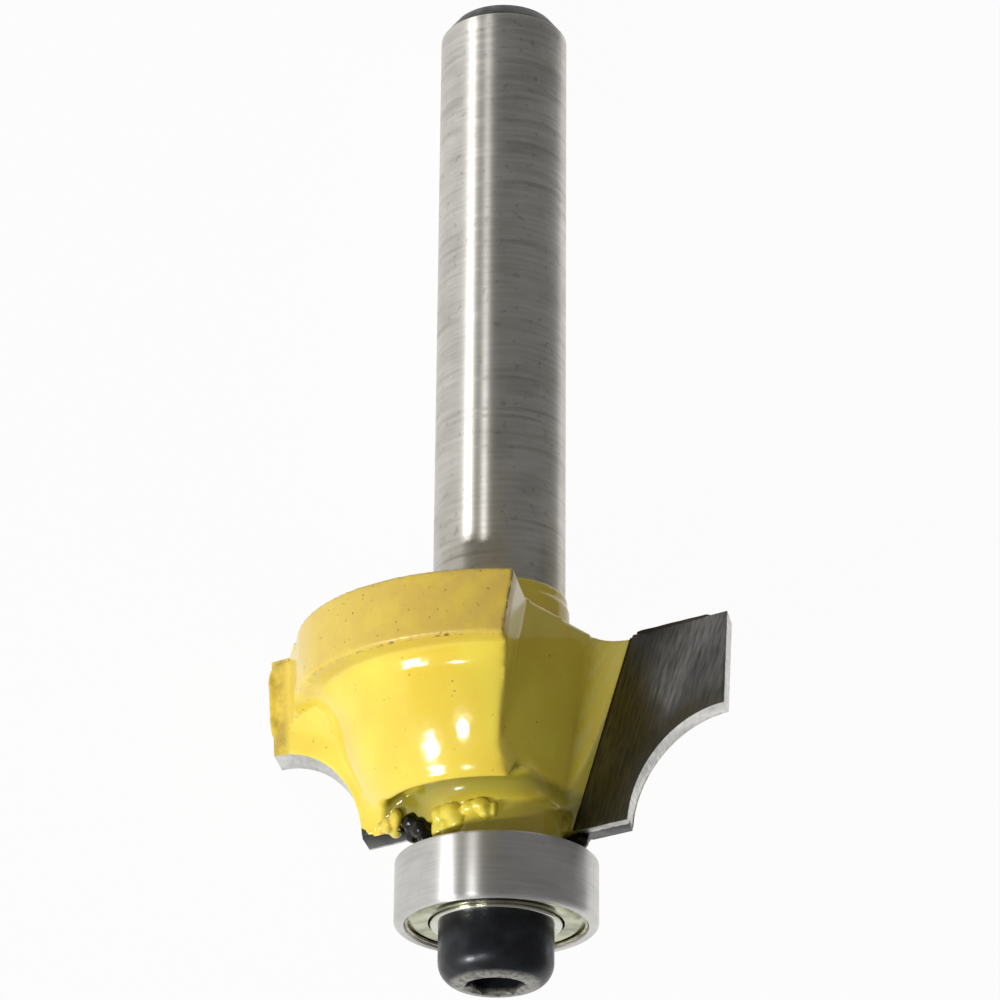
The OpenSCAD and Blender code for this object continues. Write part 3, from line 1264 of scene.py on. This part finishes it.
def turned(
    name: str, outline: Outline, steps: int = 128, angle: float = 2 * math.pi
) -> Object:
    """Extrudes a closed half outline from one point and spins it round the axis.

    Args:
        name: the piece's name.
        outline: radius and height of each corner in millimetres, in order.
        steps: the number of faces round the piece.
        angle: how far it is spun.

    Returns:
        The new object in the bit's place, in object mode.
    """
    obj = start_point(name, outline[0])
    for here, there in zip(outline, [*outline[1:], outline[0]]):
        step = (there[0] - here[0], 0, there[1] - here[1])
        bpy.ops.mesh.extrude_region_move(TRANSFORM_OT_translate={"value": step})
    all_selected()
    bpy.ops.mesh.remove_doubles(threshold=MERGE)
    all_selected()
    bpy.ops.mesh.spin(steps=steps, angle=angle, center=(0, 0, 0), axis=(0, 0, 1))
    all_selected()
    bpy.ops.mesh.remove_doubles(threshold=MERGE)
    all_selected()
    bpy.ops.mesh.normals_make_consistent(inside=False)
    mode("OBJECT")
    return obj


def copy_of(node: str, name: str) -> Object:
    """Copies a CAD node's mesh into the bit's place, merged and cleaned.

    Args:
        node: the CAD node.
        name: the new piece's name.

    Returns:
        The copy, in millimetres, in object mode.
    """
    obj = bpy.data.objects.new(name, frame["nodes"][node].data.copy())
    obj.data.name = name
    bpy.context.scene.collection.objects.link(obj)
    obj.data.transform(SETTLE.inverted())
    obj.data.materials.clear()
    with editing(obj):
        bpy.ops.mesh.remove_doubles(threshold=10 * MERGE)
        all_selected()
        bpy.ops.mesh.customdata_custom_splitnormals_clear()
    return obj


def cut_away(obj: Object, through: Vector, away: Vector) -> None:
    """Cuts an object with a plane, throws one side away and closes the cut.

    Args:
        obj: the object to cut.
        through: a point on the plane.
        away: the plane's normal, which points at the side that goes.
    """
    with editing(obj):
        bpy.ops.mesh.bisect(
            plane_co=through,
            plane_no=away,
            use_fill=True,
            clear_outer=True,
            threshold=MERGE,
        )


@dataclass(frozen=True)
class Lump:
    """One uneven blob of paint or flux.

    Its place is its angle round the bit in degrees, its distance from the
    axis and its height along it; its size is its half width round the bit,
    half depth and half height, all in millimetres.
    """

    angle: float
    out: float
    height: float
    size: tuple[float, float, float]

    def shape(self, name: str, seed: int, half_turn: bool = False) -> Object:
        """Shapes the blob.

        Args:
            name: the blob's name.
            seed: the start of the random draw that roughens it.
            half_turn: whether it sits on the other side of the bit.

        Returns:
            The blob, in object mode.
        """
        ball = bpy.ops.mesh.primitive_ico_sphere_add
        obj = started(name, ball, subdivisions=3, radius=1)
        around = math.radians(self.angle) - QUARTER_TURN + HALF_TURN * half_turn
        obj.data.transform(
            Matrix.Rotation(around, 4, "Z")
            @ Matrix.Translation((0, self.out, self.height))
            @ Matrix.Diagonal((*self.size, 1))
        )
        rough = 0.14 * min(self.size)
        with editing(obj):
            bpy.ops.transform.vertex_random(
                offset=rough, uniform=0.4, normal=0.6, seed=seed
            )
            bpy.ops.mesh.vertices_smooth(factor=0.5, repeat=2)
        return obj


def settle(obj: Object, body: Body, materials: Sequence[Material]) -> None:
    """Lays a finished piece down with the bit and hands it over.

    Args:
        obj: the piece, in millimetres in the bit's place.
        body: the body that it rides on.
        materials: its materials, in the order that its faces name them.
    """
    only(obj)
    obj.data.transform(SETTLE)
    for material in materials:
        obj.data.materials.append(material)
    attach(obj, body.value)
    log.info("%s: %d faces, on %s", obj.name, len(obj.data.polygons), body.value)


def dress(node: str, material: Material) -> None:
    """Gives a CAD node that stays in view its material.

    Args:
        node: the CAD node.
        material: the material.
    """
    data = frame["nodes"][node].data
    data.materials.clear()
    data.materials.append(material)
    log.info("%s: kept from the CAD model", node)


def wing_place(wing: int) -> Matrix:
    """Gives the place of one wing's rake face.

    Args:
        wing: 1 or 2.

    Returns:
        A matrix from the wing's own place to the bit's. In the wing's place x
        runs out along the face, y is 0 on it and negative behind it, and z
        runs down it from the shoulder.
    """
    return (
        Matrix.Rotation(HALF_TURN * (wing - 1), 4, "Z")
        @ Matrix.Translation((0, -RAKE_OFFSET, SHOULDER))
        @ Matrix.Rotation(-SHEAR, 4, "X")
    )


# ---- The bit's sub-assemblies ----


@dataclass
class Shank:
    """The bare ground shank, with its chamfered end."""

    radius: float = 3.175
    chamfer_in: float = 0.7
    chamfer_len: float = 0.92
    into_head: float = 34.6
    edge: float = 0.05

    def build(self) -> Object:
        """Turns the shank from its end to inside the head.

        Returns:
            The shank.
        """
        obj = turned(
            "bare_shank",
            [
                (0, 0),
                (self.radius - self.chamfer_in, 0),
                (self.radius, self.chamfer_len),
                (self.radius, self.into_head),
                (0, self.into_head),
            ],
        )
        soften_edges(obj, self.edge)
        return obj

    def dress(self, obj: Object) -> None:
        """Finishes the shank in ground steel, with dark scale on its chamfer.

        Args:
            obj: the shank.
        """
        steel = GroundSteel(
            name="ground_shank_steel",
            light="dad7d0",
            dark="c6c3bb",
            roughness=0.42,
            roughness_spread=0.03,
            dull_rings=0.1,
            mark_at=24.66,
        )
        scale = MottledFinish(
            name="scaled_chamfer_steel",
            light="2f2e31",
            dark="19181b",
            metallic=0.9,
            roughness=0.4,
            patch=0.5,
        )

        def on_chamfer(at: Vector, normal: Vector) -> bool:
            """Tells whether a face lies on the chamfer at the shank's end."""
            return at.z < self.chamfer_len and -0.95 < normal.z < -0.45

        assign(obj, 1, on_chamfer)
        settle(obj, Body.CUTTER, [steel.make(), scale.make()])
        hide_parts("cutter_body")


@dataclass(frozen=True)
class Ridge:
    """A ridge that thick paint rounds off, how far from it and how often."""

    points: tuple[tuple[float, float, float], ...]
    reach: float
    times: int


@dataclass
class Head:
    """The enamelled cutter head, one skin of paint over steel and tip backs."""

    paint_from: float = 31.5
    collar_from: float = 32.15
    paint_r: float = 3.25
    tip_cover_from: float = 1.25
    seam_cover_from: float = 0.2
    cover: float = 0.05
    set_in: float = 0.985
    set_in_about: tuple[float, float] = (6.5, 4.75)
    voxel: float = 0.105
    soften: int = 4
    seat: float = 44.63
    most_triangles: int = 195_000
    # Ridges on wing 2's side of the bit, along its back, beside its gullet and
    # at the channel's end; the same ones half a turn round belong to wing 1
    ridges: tuple[Ridge, ...] = (
        Ridge(
            (
                (-6.1, 6.6, 36.9),
                (-5.55, 6.0, 38.2),
                (-4.8, 5.3, 40.0),
                (-4.15, 4.0, 42.2),
            ),
            1.5,
            90,
        ),
        Ridge(((4.35, 6.75, 37.6), (4.05, 6.0, 39.9), (3.8, 5.0, 42.0)), 0.7, 22),
        Ridge(((3.1, 3.2, 41.7), (3.44, 2.38, 41.7), (3.6, 1.5, 41.9)), 0.85, 60),
    )
    # Radius and height of the turned edges and corners that it rounds off
    turned_edges: Outline = ((8.0, 37.35), (5.7, 42.3), (3.8, 42.3))
    turned_reach: float = 0.65
    turned_times: int = 25
    # How far down wing 2's outer edge each run of paint is, and its half length
    runs: Outline = ((0.9, 0.95), (1.8, 1.2), (2.6, 1.05))
    boss_lumps: tuple[Lump, ...] = (
        Lump(109, 3.15, 43.0, (0.5, 0.5, 0.55)),
        Lump(97, 3.15, 42.95, (0.55, 0.45, 0.5)),
        Lump(112, 3.1, 43.6, (0.5, 0.45, 0.6)),
        Lump(101, 3.1, 43.6, (0.45, 0.42, 0.6)),
        Lump(91, 3.1, 43.4, (0.42, 0.42, 0.6)),
        Lump(78, 3.1, 42.95, (0.5, 0.36, 0.4)),
        Lump(69, 3.1, 42.9, (0.5, 0.4, 0.4)),
        Lump(64, 3.1, 43.25, (0.36, 0.4, 0.4)),
        Lump(57, 3.05, 43.15, (0.2, 0.36, 0.45)),
    )
    foot_lumps: tuple[Lump, ...] = (
        Lump(145, 5.45, 43.0, (0.5, 0.25, 0.32)),
        Lump(141, 5.1, 42.95, (0.62, 0.32, 0.42)),
        Lump(137, 4.75, 42.75, (0.62, 0.35, 0.5)),
        Lump(144, 4.75, 43.1, (0.58, 0.36, 0.36)),
    )

    def build(self) -> tuple[Object, Object]:
        """Runs one skin over head, tip backs and collar, and adds the drips.

        Returns:
            The head and its drips.
        """
        head = copy_of("cutter_body", "enamelled_head")
        cut_away(head, Vector((0, 0, self.collar_from - 0.1)), Vector((0, 0, -1)))
        covers = [self.cover_of(part, wing) for part in Cover for wing in (1, 2)]
        head = skinned(
            [head, *covers, self.paint_edge(), *self.edge_runs()],
            self.voxel,
            self.soften,
        )
        for turn in (0, HALF_TURN):
            half = Matrix.Rotation(turn, 3, "Z")
            for ridge in self.ridges:
                points = [half @ Vector(point) for point in ridge.points]
                ease(head, points, ridge.reach, ridge.times)
        steps = [2 * math.pi * i / 24 for i in range(25)]
        for r, z in self.turned_edges:
            circle = [Vector((r * math.cos(a), r * math.sin(a), z)) for a in steps]
            ease(head, circle, self.turned_reach, self.turned_times)
        share = self.most_triangles / (2 * len(head.data.polygons))
        if share < 1:
            apply_modifier(head, "DECIMATE", ratio=share)
        only(head)
        bpy.ops.object.shade_smooth()
        return head, self.drips()

    def cover_of(self, part: Cover, wing: int) -> Object:
        """Cuts off the back of a tip or of its braze, which the paint covers.

        Args:
            part: the tip or its seam.
            wing: the wing that carries it.

        Returns:
            The back of the part, moved back by the paint's thickness.
        """
        back = copy_of(f"{part.value}_{wing}", f"{part.value}_{wing}_back")
        front = self.tip_cover_from if part is Cover.TIP else self.seam_cover_from
        place = wing_place(wing)
        cut_away(
            back, place @ Vector((0, -front, 0)), place.to_3x3() @ Vector((0, 1, 0))
        )
        out, down = self.set_in_about
        back.data.transform(
            place
            @ Matrix.Translation((out, -self.cover, down))
            @ Matrix.Diagonal((self.set_in, 1, self.set_in, 1))
            @ Matrix.Translation((-out, 0, -down))
            @ place.inverted()
        )
        return back

    def paint_edge(self) -> Object:
        """Turns the film of paint that ends on the shank behind the collar.

        Returns:
            The film.
        """
        return turned(
            "paint_edge",
            [
                (2.6, self.paint_from),
                (self.paint_r - 0.03, self.paint_from),
                (self.paint_r + 0.02, self.paint_from + 0.15),
                (self.paint_r, self.collar_from + 0.2),
                (2.6, self.collar_from + 0.2),
            ],
            steps=96,
        )

    def edge_runs(self) -> list[Object]:
        """Shapes the runs of paint that thicken wing 2's outer edge.

        Returns:
            The runs, one under the other.
        """
        runs = []
        for i, (along, half) in enumerate(self.runs):
            run = Lump(90, 0, 0, (0.22, 0.3, half)).shape(f"edge_run_{i}", 41 + i)
            run.data.transform(wing_place(2) @ Matrix.Translation((10.5, -1.4, along)))
            runs.append(run)
        return runs

    def drips(self) -> Object:
        """Shapes the drips of paint that set on the boss and at tip 2's foot.

        Returns:
            The drips, as one piece.
        """
        shapes = [
            lump.shape(f"boss_paint_drips_{i}", 50 + 10 * i + turn, bool(turn))
            for turn in (0, 1)
            for i, lump in enumerate(self.boss_lumps)
        ]
        for i, lump in enumerate(self.foot_lumps):
            shapes.append(lump.shape(f"foot_drips_{i}", 90 + i))
        shapes[0].name = "boss_paint_drips"
        return skinned(shapes, 0.055, 9)

    def dress(self, made: tuple[Object, Object], looks: Looks) -> None:
        """Finishes the head in yellow enamel, with its spigot bare.

        Args:
            made: the head and its drips.
            looks: the materials that the bit's pieces share.
        """
        head, drips = made
        steel = GroundSteel(name="turned_spigot_steel").make()
        assign(head, 1, lambda at, _: at.z > self.seat)
        settle(head, Body.CUTTER, [looks.enamel, steel])
        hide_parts("cutter_body")
        settle(drips, Body.CUTTER, [looks.run_enamel])


@dataclass
class CuttingTip:
    """One brazed carbide tip, with the braze left round it."""

    wing: int
    edge: float = 0.025
    rake_depth: float = 0.02
    # How squarely a face looks forwards on the rake face, or up on the top
    rake_facing: float = 0.9
    top_facing: float = 0.35
    # How far behind the rake face the paint starts: over the back, and on top
    back_painted: float = 1.35
    top_painted: float = 0.45
    bead_from: float = 6.0
    bead_to: float = 10.1
    bead_radius: float = 0.1

    def build(self) -> tuple[Object, Object]:
        """Cleans the tip's mesh and draws the bead of braze along its top.

        Returns:
            The tip and its bead.
        """
        tip = copy_of(f"carbide_tip_{self.wing}", f"ground_tip_{self.wing}")
        with editing(tip):
            bpy.ops.mesh.dissolve_limited(angle_limit=math.radians(0.5))
        soften_edges(tip, self.edge)
        return tip, self.bead()

    def bead(self) -> Object:
        """Draws the ragged bead of braze that stands along the tip's top edge.

        Returns:
            The bead.
        """
        name = f"braze_bead_{self.wing}"
        obj = started(name, bpy.ops.mesh.primitive_cube_add, size=1)
        middle = (self.bead_from + self.bead_to) / 2
        long = self.bead_to - self.bead_from
        wide = 2 * self.bead_radius
        place = (
            wing_place(self.wing)
            @ Matrix.Translation((middle, -0.3, -0.17))
            @ Matrix.Diagonal((long, 3 * wide, wide, 1))
        )
        with editing(obj):
            bpy.ops.mesh.subdivide(number_cuts=7)
        obj.data.transform(place)
        with editing(obj):
            bpy.ops.transform.vertex_random(
                offset=0.07, uniform=0.5, normal=0.5, seed=20 + self.wing
            )
            bpy.ops.mesh.vertices_smooth(factor=0.5, repeat=1)
        apply_modifier(obj, "SUBSURF", levels=1, render_levels=1)
        only(obj)
        bpy.ops.object.shade_smooth()
        return obj

    def dress(self, made: tuple[Object, Object], looks: Looks) -> None:
        """Finishes the rake face, the lands, the painted top and the braze.

        Args:
            made: the tip and its bead.
            looks: the materials that the bit's pieces share.
        """
        tip, bead = made
        inverse = wing_place(self.wing).inverted()
        turn = inverse.to_3x3()

        def on_rake(at: Vector, normal: Vector) -> bool:
            """Tells whether a face lies on the rake face."""
            facing = (turn @ normal).y
            return (inverse @ at).y > -self.rake_depth and facing > self.rake_facing

        def painted(at: Vector, normal: Vector) -> bool:
            """Tells whether a face lies on the back, or on the top behind the braze.

            Args:
                at: the face's centre.
                normal: the face's normal.

            Returns:
                True where the face is painted.
            """
            behind = -(inverse @ at).y
            on_top = (turn @ normal).z < -self.top_facing and behind > self.top_painted
            return behind > self.back_painted or on_top

        assign(tip, 1, on_rake)
        assign(tip, 2, painted)
        settle(
            tip, Body.CUTTER, [looks.ground, looks.sintered, looks.enamel]
        )
        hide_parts(f"carbide_tip_{self.wing}")
        settle(bead, Body.CUTTER, [looks.braze])
        dress(f"braze_seam_{self.wing}", looks.braze)


@dataclass
class FluxDrip:
    """Black, glassy brazing flux, run into the channel behind a tip's foot."""

    wing: int
    lumps: tuple[Lump, ...] = (
        Lump(133, 4.05, 43.0, (0.62, 0.5, 0.5)),
        Lump(127, 3.7, 43.35, (0.55, 0.5, 0.55)),
        Lump(138, 3.85, 43.45, (0.6, 0.5, 0.45)),
        Lump(124, 3.5, 43.8, (0.45, 0.45, 0.5)),
    )

    def build(self) -> Object:
        """Shapes the drip from several lumps.

        Returns:
            The drip.
        """
        name = f"flux_drip_{self.wing}"
        shapes = [
            lump.shape(f"{name}_{i}", 31 + 7 * i + self.wing, self.wing == 1)
            for i, lump in enumerate(self.lumps)
        ]
        shapes[0].name = name
        return skinned(shapes, 0.06, 5)

    def dress(self, obj: Object, looks: Looks) -> None:
        """Finishes the drip in glassy black."""
        settle(obj, Body.CUTTER, [looks.flux])


@dataclass
class GuideBearing:
    """The shielded ball bearing: rings, shields, clips, balls and cage."""

    middle: float = 46.2175
    width: float = 3.175
    bore_r: float = 2.38125
    inner_land_r: float = 3.08125
    outer_land_r: float = 4.0525
    outer_r: float = 4.7625
    groove_r: float = 0.844
    step_r: float = 4.2925
    step_depth: float = 0.45
    chamfer: float = 0.14
    shield_t: float = 0.2
    shield_in_r: float = 3.16125
    fit: float = 0.015
    clip_t: float = 0.17
    clip_opening: float = math.radians(24)
    balls: int = 8

    def groove(self, land_r: float, inward: int) -> list[tuple[float, float]]:
        """Draws the ball groove's arc on one ring, from low to high.

        Args:
            land_r: the radius of the ring's land.
            inward: 1 where the groove sinks towards a larger radius, else -1.

        Returns:
            Radius and height of each point, the height from the middle.
        """
        pitch_r = (self.inner_land_r + self.outer_land_r) / 2
        half = math.acos(abs(land_r - pitch_r) / self.groove_r)
        turns = [half * (i / 6 - 1) for i in range(13)]
        deep = self.groove_r
        return [
            (pitch_r + inward * deep * math.cos(a), deep * math.sin(a)) for a in turns
        ]

    def raised(self, outline: Outline) -> list[tuple[float, float]]:
        """Moves an outline from the bearing's middle to its place on the bit."""
        return [(r, z + self.middle) for r, z in outline]

    def outer_ring(self) -> Object:
        """Turns the outer ring with its groove and its steps for the shields.

        Returns:
            The ring.
        """
        end = self.width / 2
        step = end - self.step_depth
        corner = self.outer_r - self.chamfer
        obj = turned(
            "outer_bearing_ring",
            self.raised(
                [
                    (self.outer_land_r, -step),
                    *self.groove(self.outer_land_r, 1),
                    (self.outer_land_r, step),
                    (self.step_r, step),
                    (self.step_r, end),
                    (corner, end),
                    (self.outer_r, end - self.chamfer),
                    (self.outer_r, self.chamfer - end),
                    (corner, -end),
                    (self.step_r, -end),
                    (self.step_r, -step),
                ]
            ),
            steps=160,
        )
        soften_edges(obj, 0.05)
        return obj

    def inner_ring(self) -> Object:
        """Turns the inner ring with its groove.

        Returns:
            The ring.
        """
        end = self.width / 2
        small = self.chamfer / 2
        obj = turned(
            "inner_bearing_ring",
            self.raised(
                [
                    (self.bore_r, self.chamfer - end),
                    (self.bore_r + self.chamfer, -end),
                    (self.inner_land_r - small, -end),
                    (self.inner_land_r, small - end),
                    *self.groove(self.inner_land_r, -1),
                    (self.inner_land_r, end - small),
                    (self.inner_land_r - small, end),
                    (self.bore_r + self.chamfer, end),
                    (self.bore_r, end - self.chamfer),
                ]
            ),
        )
        soften_edges(obj, 0.03)
        return obj

    def shield(self, side: int, end: str) -> Object:
        """Presses one shield, with its raised inner lip.

        Args:
            side: 1 for the screw's side, -1 for the shank's.
            end: what the side is called, front or rear.

        Returns:
            The shield.
        """
        floor = self.width / 2 - self.step_depth
        lip = self.shield_t / 2
        outline = [
            (self.step_r - self.fit, floor),
            (self.step_r - self.fit, floor + self.shield_t),
            (self.outer_land_r, floor + self.shield_t),
            (self.outer_land_r - self.shield_t, floor + self.shield_t + lip),
            (self.shield_in_r, floor + self.shield_t + lip),
            (self.shield_in_r, floor + lip),
            (self.outer_land_r - self.shield_t, floor + lip),
            (self.outer_land_r - lip, floor),
        ]
        outline = self.raised([(r, side * z) for r, z in outline])
        obj = turned(f"pressed_shield_{end}", outline)
        soften_edges(obj, 0.05)
        return obj

    def clip(self, side: int, end: str) -> Object:
        """Bends one open clip of round wire.

        Args:
            side: 1 for the screw's side, -1 for the shank's.
            end: what the side is called, front or rear.

        Returns:
            The clip.
        """
        wire_r = self.clip_t / 2
        height = self.width / 2 - self.step_depth + self.shield_t + wire_r
        r, z = self.step_r - self.fit - wire_r, self.middle + side * height
        turns = [2 * math.pi * i / 10 for i in range(10)]
        obj = turned(
            f"wire_clip_{end}",
            [(r + wire_r * math.cos(a), z + wire_r * math.sin(a)) for a in turns],
            steps=120,
            angle=2 * math.pi - self.clip_opening,
        )
        with editing(obj):
            bpy.ops.mesh.select_all(action="DESELECT")
            bpy.ops.mesh.select_non_manifold()
            bpy.ops.mesh.fill()
            all_selected()
            bpy.ops.mesh.normals_make_consistent(inside=False)
        obj.data.transform(Matrix.Rotation(self.clip_opening / 2, 4, "Z"))
        only(obj)
        bpy.ops.object.shade_smooth_by_angle(angle=math.radians(50))
        return obj

    def build_and_dress(self, looks: Looks) -> None:
        """Makes the rings, shields and clips, and finishes every piece of the bearing.

        Args:
            looks: the materials that the bit's pieces share.
        """
        outer = self.outer_ring()
        settle(outer, Body.OUTER_RING, [looks.ring])
        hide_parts("bearing_outer_ring")
        inner = self.inner_ring()
        settle(inner, Body.CUTTER, [looks.bright_ring])
        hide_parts("bearing_inner_ring")
        for side, end in ((1, "front"), (-1, "rear")):
            shield = self.shield(side, end)
            settle(shield, Body.OUTER_RING, [looks.shield])
            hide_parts(f"bearing_shield_{end}")
            clip = self.clip(side, end)
            settle(clip, Body.OUTER_RING, [looks.clip])
            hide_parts(f"shield_clip_{end}")
        for i in range(1, self.balls + 1):
            dress(f"ball_{i}", looks.ball)
        dress("ball_cage", looks.nylon)


@dataclass
class CapScrew:
    """The socket head cap screw that clamps the bearing."""

    under_head: float = 47.805
    head_r: float = 2.7
    head_h: float = 2.85
    head_round: float = 1.15
    thread_r: float = 1.5
    thread_depth: float = 0.3
    pitch: float = 0.5
    # Where a thread's crest starts and ends and its root begins, in pitches
    thread_shape: tuple[float, float, float] = (0.2, 0.4, 0.8)
    length: float = 9.0
    turns: int = 12
    socket_af: float = 2.5
    socket_depth: float = 1.6
    socket_chamfer: float = 0.15

    @property
    def top(self) -> float:
        """The height of the head's top."""
        return self.under_head + self.head_h

    @property
    def socket_r(self) -> float:
        """The socket's radius at the hexagon's corners."""
        return self.socket_af / 2 / math.cos(math.radians(30))

    def build(self) -> Object:
        """Turns the screw, broaches its socket and chamfers the socket's mouth.

        Returns:
            The screw.
        """
        obj = turned("socket_cap_screw", self.outline())
        for cutter in (self.hexagon(), self.cone()):
            apply_modifier(
                obj, "BOOLEAN", operation="DIFFERENCE", solver="EXACT", object=cutter
            )
            bpy.data.objects.remove(cutter)
        soften_edges(obj, 0.035)
        return obj

    def outline(self) -> Outline:
        """Draws half of the screw: its tip, threads and rounded head.

        Returns:
            Radius and height of each corner.
        """
        low = self.under_head - self.length
        root = self.thread_r - self.thread_depth
        radii = (self.thread_r, self.thread_r, root)
        points = [(0.0, low), (root, low)]
        for i in range(self.turns):
            foot = low + i * self.pitch
            points += [
                (radius, foot + share * self.pitch)
                for radius, share in zip(radii, self.thread_shape)
            ]
        arc = [QUARTER_TURN * i / 10 for i in range(11)]
        points += [(root, self.under_head), (self.head_r, self.under_head)]
        points += [
            (
                self.head_r - self.head_round * (1 - math.cos(a)),
                self.top - self.head_round * (1 - math.sin(a)),
            )
            for a in arc
        ]
        return [*points, (0.0, self.top)]

    def hexagon(self) -> Object:
        """Makes the hexagon that the socket is broached with.

        Returns:
            The hexagon, which is cut away.
        """
        obj = started(
            "socket_hexagon",
            bpy.ops.mesh.primitive_cylinder_add,
            vertices=6,
            radius=self.socket_r,
            depth=2 * self.socket_depth,
            location=(0, 0, self.top),
        )
        obj.data.transform(obj.matrix_world)
        obj.matrix_world = Matrix.Identity(4)
        return obj

    def cone(self) -> Object:
        """Makes the countersink that chamfers the socket's mouth.

        Returns:
            The countersink, which is cut away.
        """
        low, high = self.top - self.socket_chamfer, self.top + self.socket_chamfer
        return turned(
            "countersink",
            [
                (0, low),
                (self.socket_r - self.socket_chamfer, low),
                (self.socket_r + self.socket_chamfer, high),
                (0, high),
            ],
        )

    def dress(self, obj: Object) -> None:
        """Finishes the screw in black oxide."""
        settle(obj, Body.CUTTER, [BlackOxide().make()])
        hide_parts("cap_screw")


# ---- The studio ----


@dataclass(frozen=True)
class SoftLamp:
    """One soft rectangular lamp, aimed at the cutter head.

    Its sides run along the bit and across it.
    """

    name: str
    towards: tuple[float, float, float]
    distance: float
    along: float
    across: float
    power: float

    def hang(self, aim: Vector) -> None:
        """Hangs the lamp.

        Args:
            aim: the point that it faces, in the row frame.
        """
        data = bpy.data.lights.new(self.name, "AREA")
        data.shape = "RECTANGLE"
        data.size, data.size_y = self.along, self.across
        data.energy = self.power
        lamp = bpy.data.objects.new(self.name, data)
        bpy.context.scene.collection.objects.link(lamp)
        back = Vector(self.towards).normalized()
        side = back.cross(Vector(AXIS)).normalized()
        place = Matrix((side.cross(back), side, back)).transposed().to_4x4()
        place.translation = aim + back * self.distance
        lamp.matrix_world = place


@dataclass
class Studio:
    """A pale bench, soft lamps and the camera."""

    bench_half: float = 1.5
    bench_colour: str = "f4f4f4"
    bench_white: float = 0.96
    world_level: float = 0.25
    aim: tuple[float, float, float] = (0.0, -0.036, 0.006)
    lens: float = 147.94
    camera_at: tuple[float, float, float] = (-0.085502, -0.077332, 0.176395)
    camera_right: tuple[float, float, float] = (0.88098, 0.08875, 0.46475)
    camera_up: tuple[float, float, float] = (-0.1972, 0.96175, 0.19014)

    def bench(self) -> None:
        """Lays the pale bench under the bit."""
        plane = bpy.ops.mesh.primitive_plane_add
        floor = started("pale_bench", plane, size=2 * self.bench_half)
        with editing(floor):
            bpy.ops.mesh.subdivide(number_cuts=3)
        floor.data.transform(Matrix.Translation((0, 0, CAD_BOX[0].z)))
        floor.data.materials.append(self.bench_paint())

    def bench_paint(self) -> Material:
        """Paints the bench white to the eye and to reflections, with a shadow.

        Returns:
            The bench's material.
        """
        material, add = new_material("pale_bench_paint")
        white = linear(self.bench_colour)
        paint = add("BsdfPrincipled", {"Base Color": white, "Roughness": 0.9})
        path = add("LightPath").outputs
        seen = path["Is Camera Ray"]
        for ray in ("Is Glossy Ray", "Is Transmission Ray"):
            seen = add("Math", {0: seen, 1: path[ray]}, operation="MAXIMUM")
        share = add("Math", {0: seen, 1: self.bench_white}, operation="MULTIPLY")
        glow = add("Emission", {"Color": (1, 1, 1, 1), "Strength": 1.0})
        mixed = add("MixShader", {0: share, 1: paint, 2: glow})
        add("OutputMaterial", {"Surface": mixed})
        return material

    def light(self) -> None:
        """Sets the sky's even level and hangs the lamps."""
        world = bpy.data.worlds.new("studio_sky")
        bpy.context.scene.world = world
        world.use_nodes = True
        world.node_tree.nodes.clear()
        add = partial(add_node, world.node_tree)
        sky = add("Background", {"Color": (1, 1, 1, 1), "Strength": self.world_level})
        add("OutputWorld", {"Surface": sky})
        for lamp in (
            SoftLamp("key_left", (-0.84, -0.53, 0.105), 0.6, 0.035, 0.1, 2.25),
            SoftLamp("fill_front", (-0.71, -0.452, 0.5375), 0.6, 0.03, 0.065, 0.8),
        ):
            lamp.hang(Vector(self.aim))

    def camera(self) -> None:
        """Sets the camera at the photograph's viewing angle."""
        data = bpy.data.cameras.new("camera")
        data.lens = self.lens
        data.sensor_width = 36.0
        data.clip_start, data.clip_end = 0.01, 10
        camera = bpy.data.objects.new("camera", data)
        bpy.context.scene.collection.objects.link(camera)
        right = Vector(self.camera_right).normalized()
        back = right.cross(Vector(self.camera_up)).normalized()
        up = back.cross(right)
        place = Matrix((right, up, back)).transposed().to_4x4()
        place.translation = Vector(self.camera_at)
        camera.matrix_world = place
        bpy.context.scene.camera = camera

    def build(self) -> None:
        """Sets up the whole studio."""
        bpy.context.scene.view_settings.view_transform = "Standard"
        self.bench()
        self.light()
        self.camera()


def main() -> None:
    """Builds and dresses each sub-assembly in order."""
    logging.basicConfig(level=logging.INFO, format="%(name)s: %(message)s")
    looks = Looks.mix()
    shank = Shank()
    shank.dress(shank.build())
    head = Head()
    head.dress(head.build(), looks)
    for wing in (1, 2):
        tip = CuttingTip(wing)
        tip.dress(tip.build(), looks)
    for wing in (1, 2):
        drip = FluxDrip(wing)
        drip.dress(drip.build(), looks)
    GuideBearing().build_and_dress(looks)
    screw = CapScrew()
    screw.dress(screw.build())
    Studio().build()


if __name__ == "__main__":
    main()
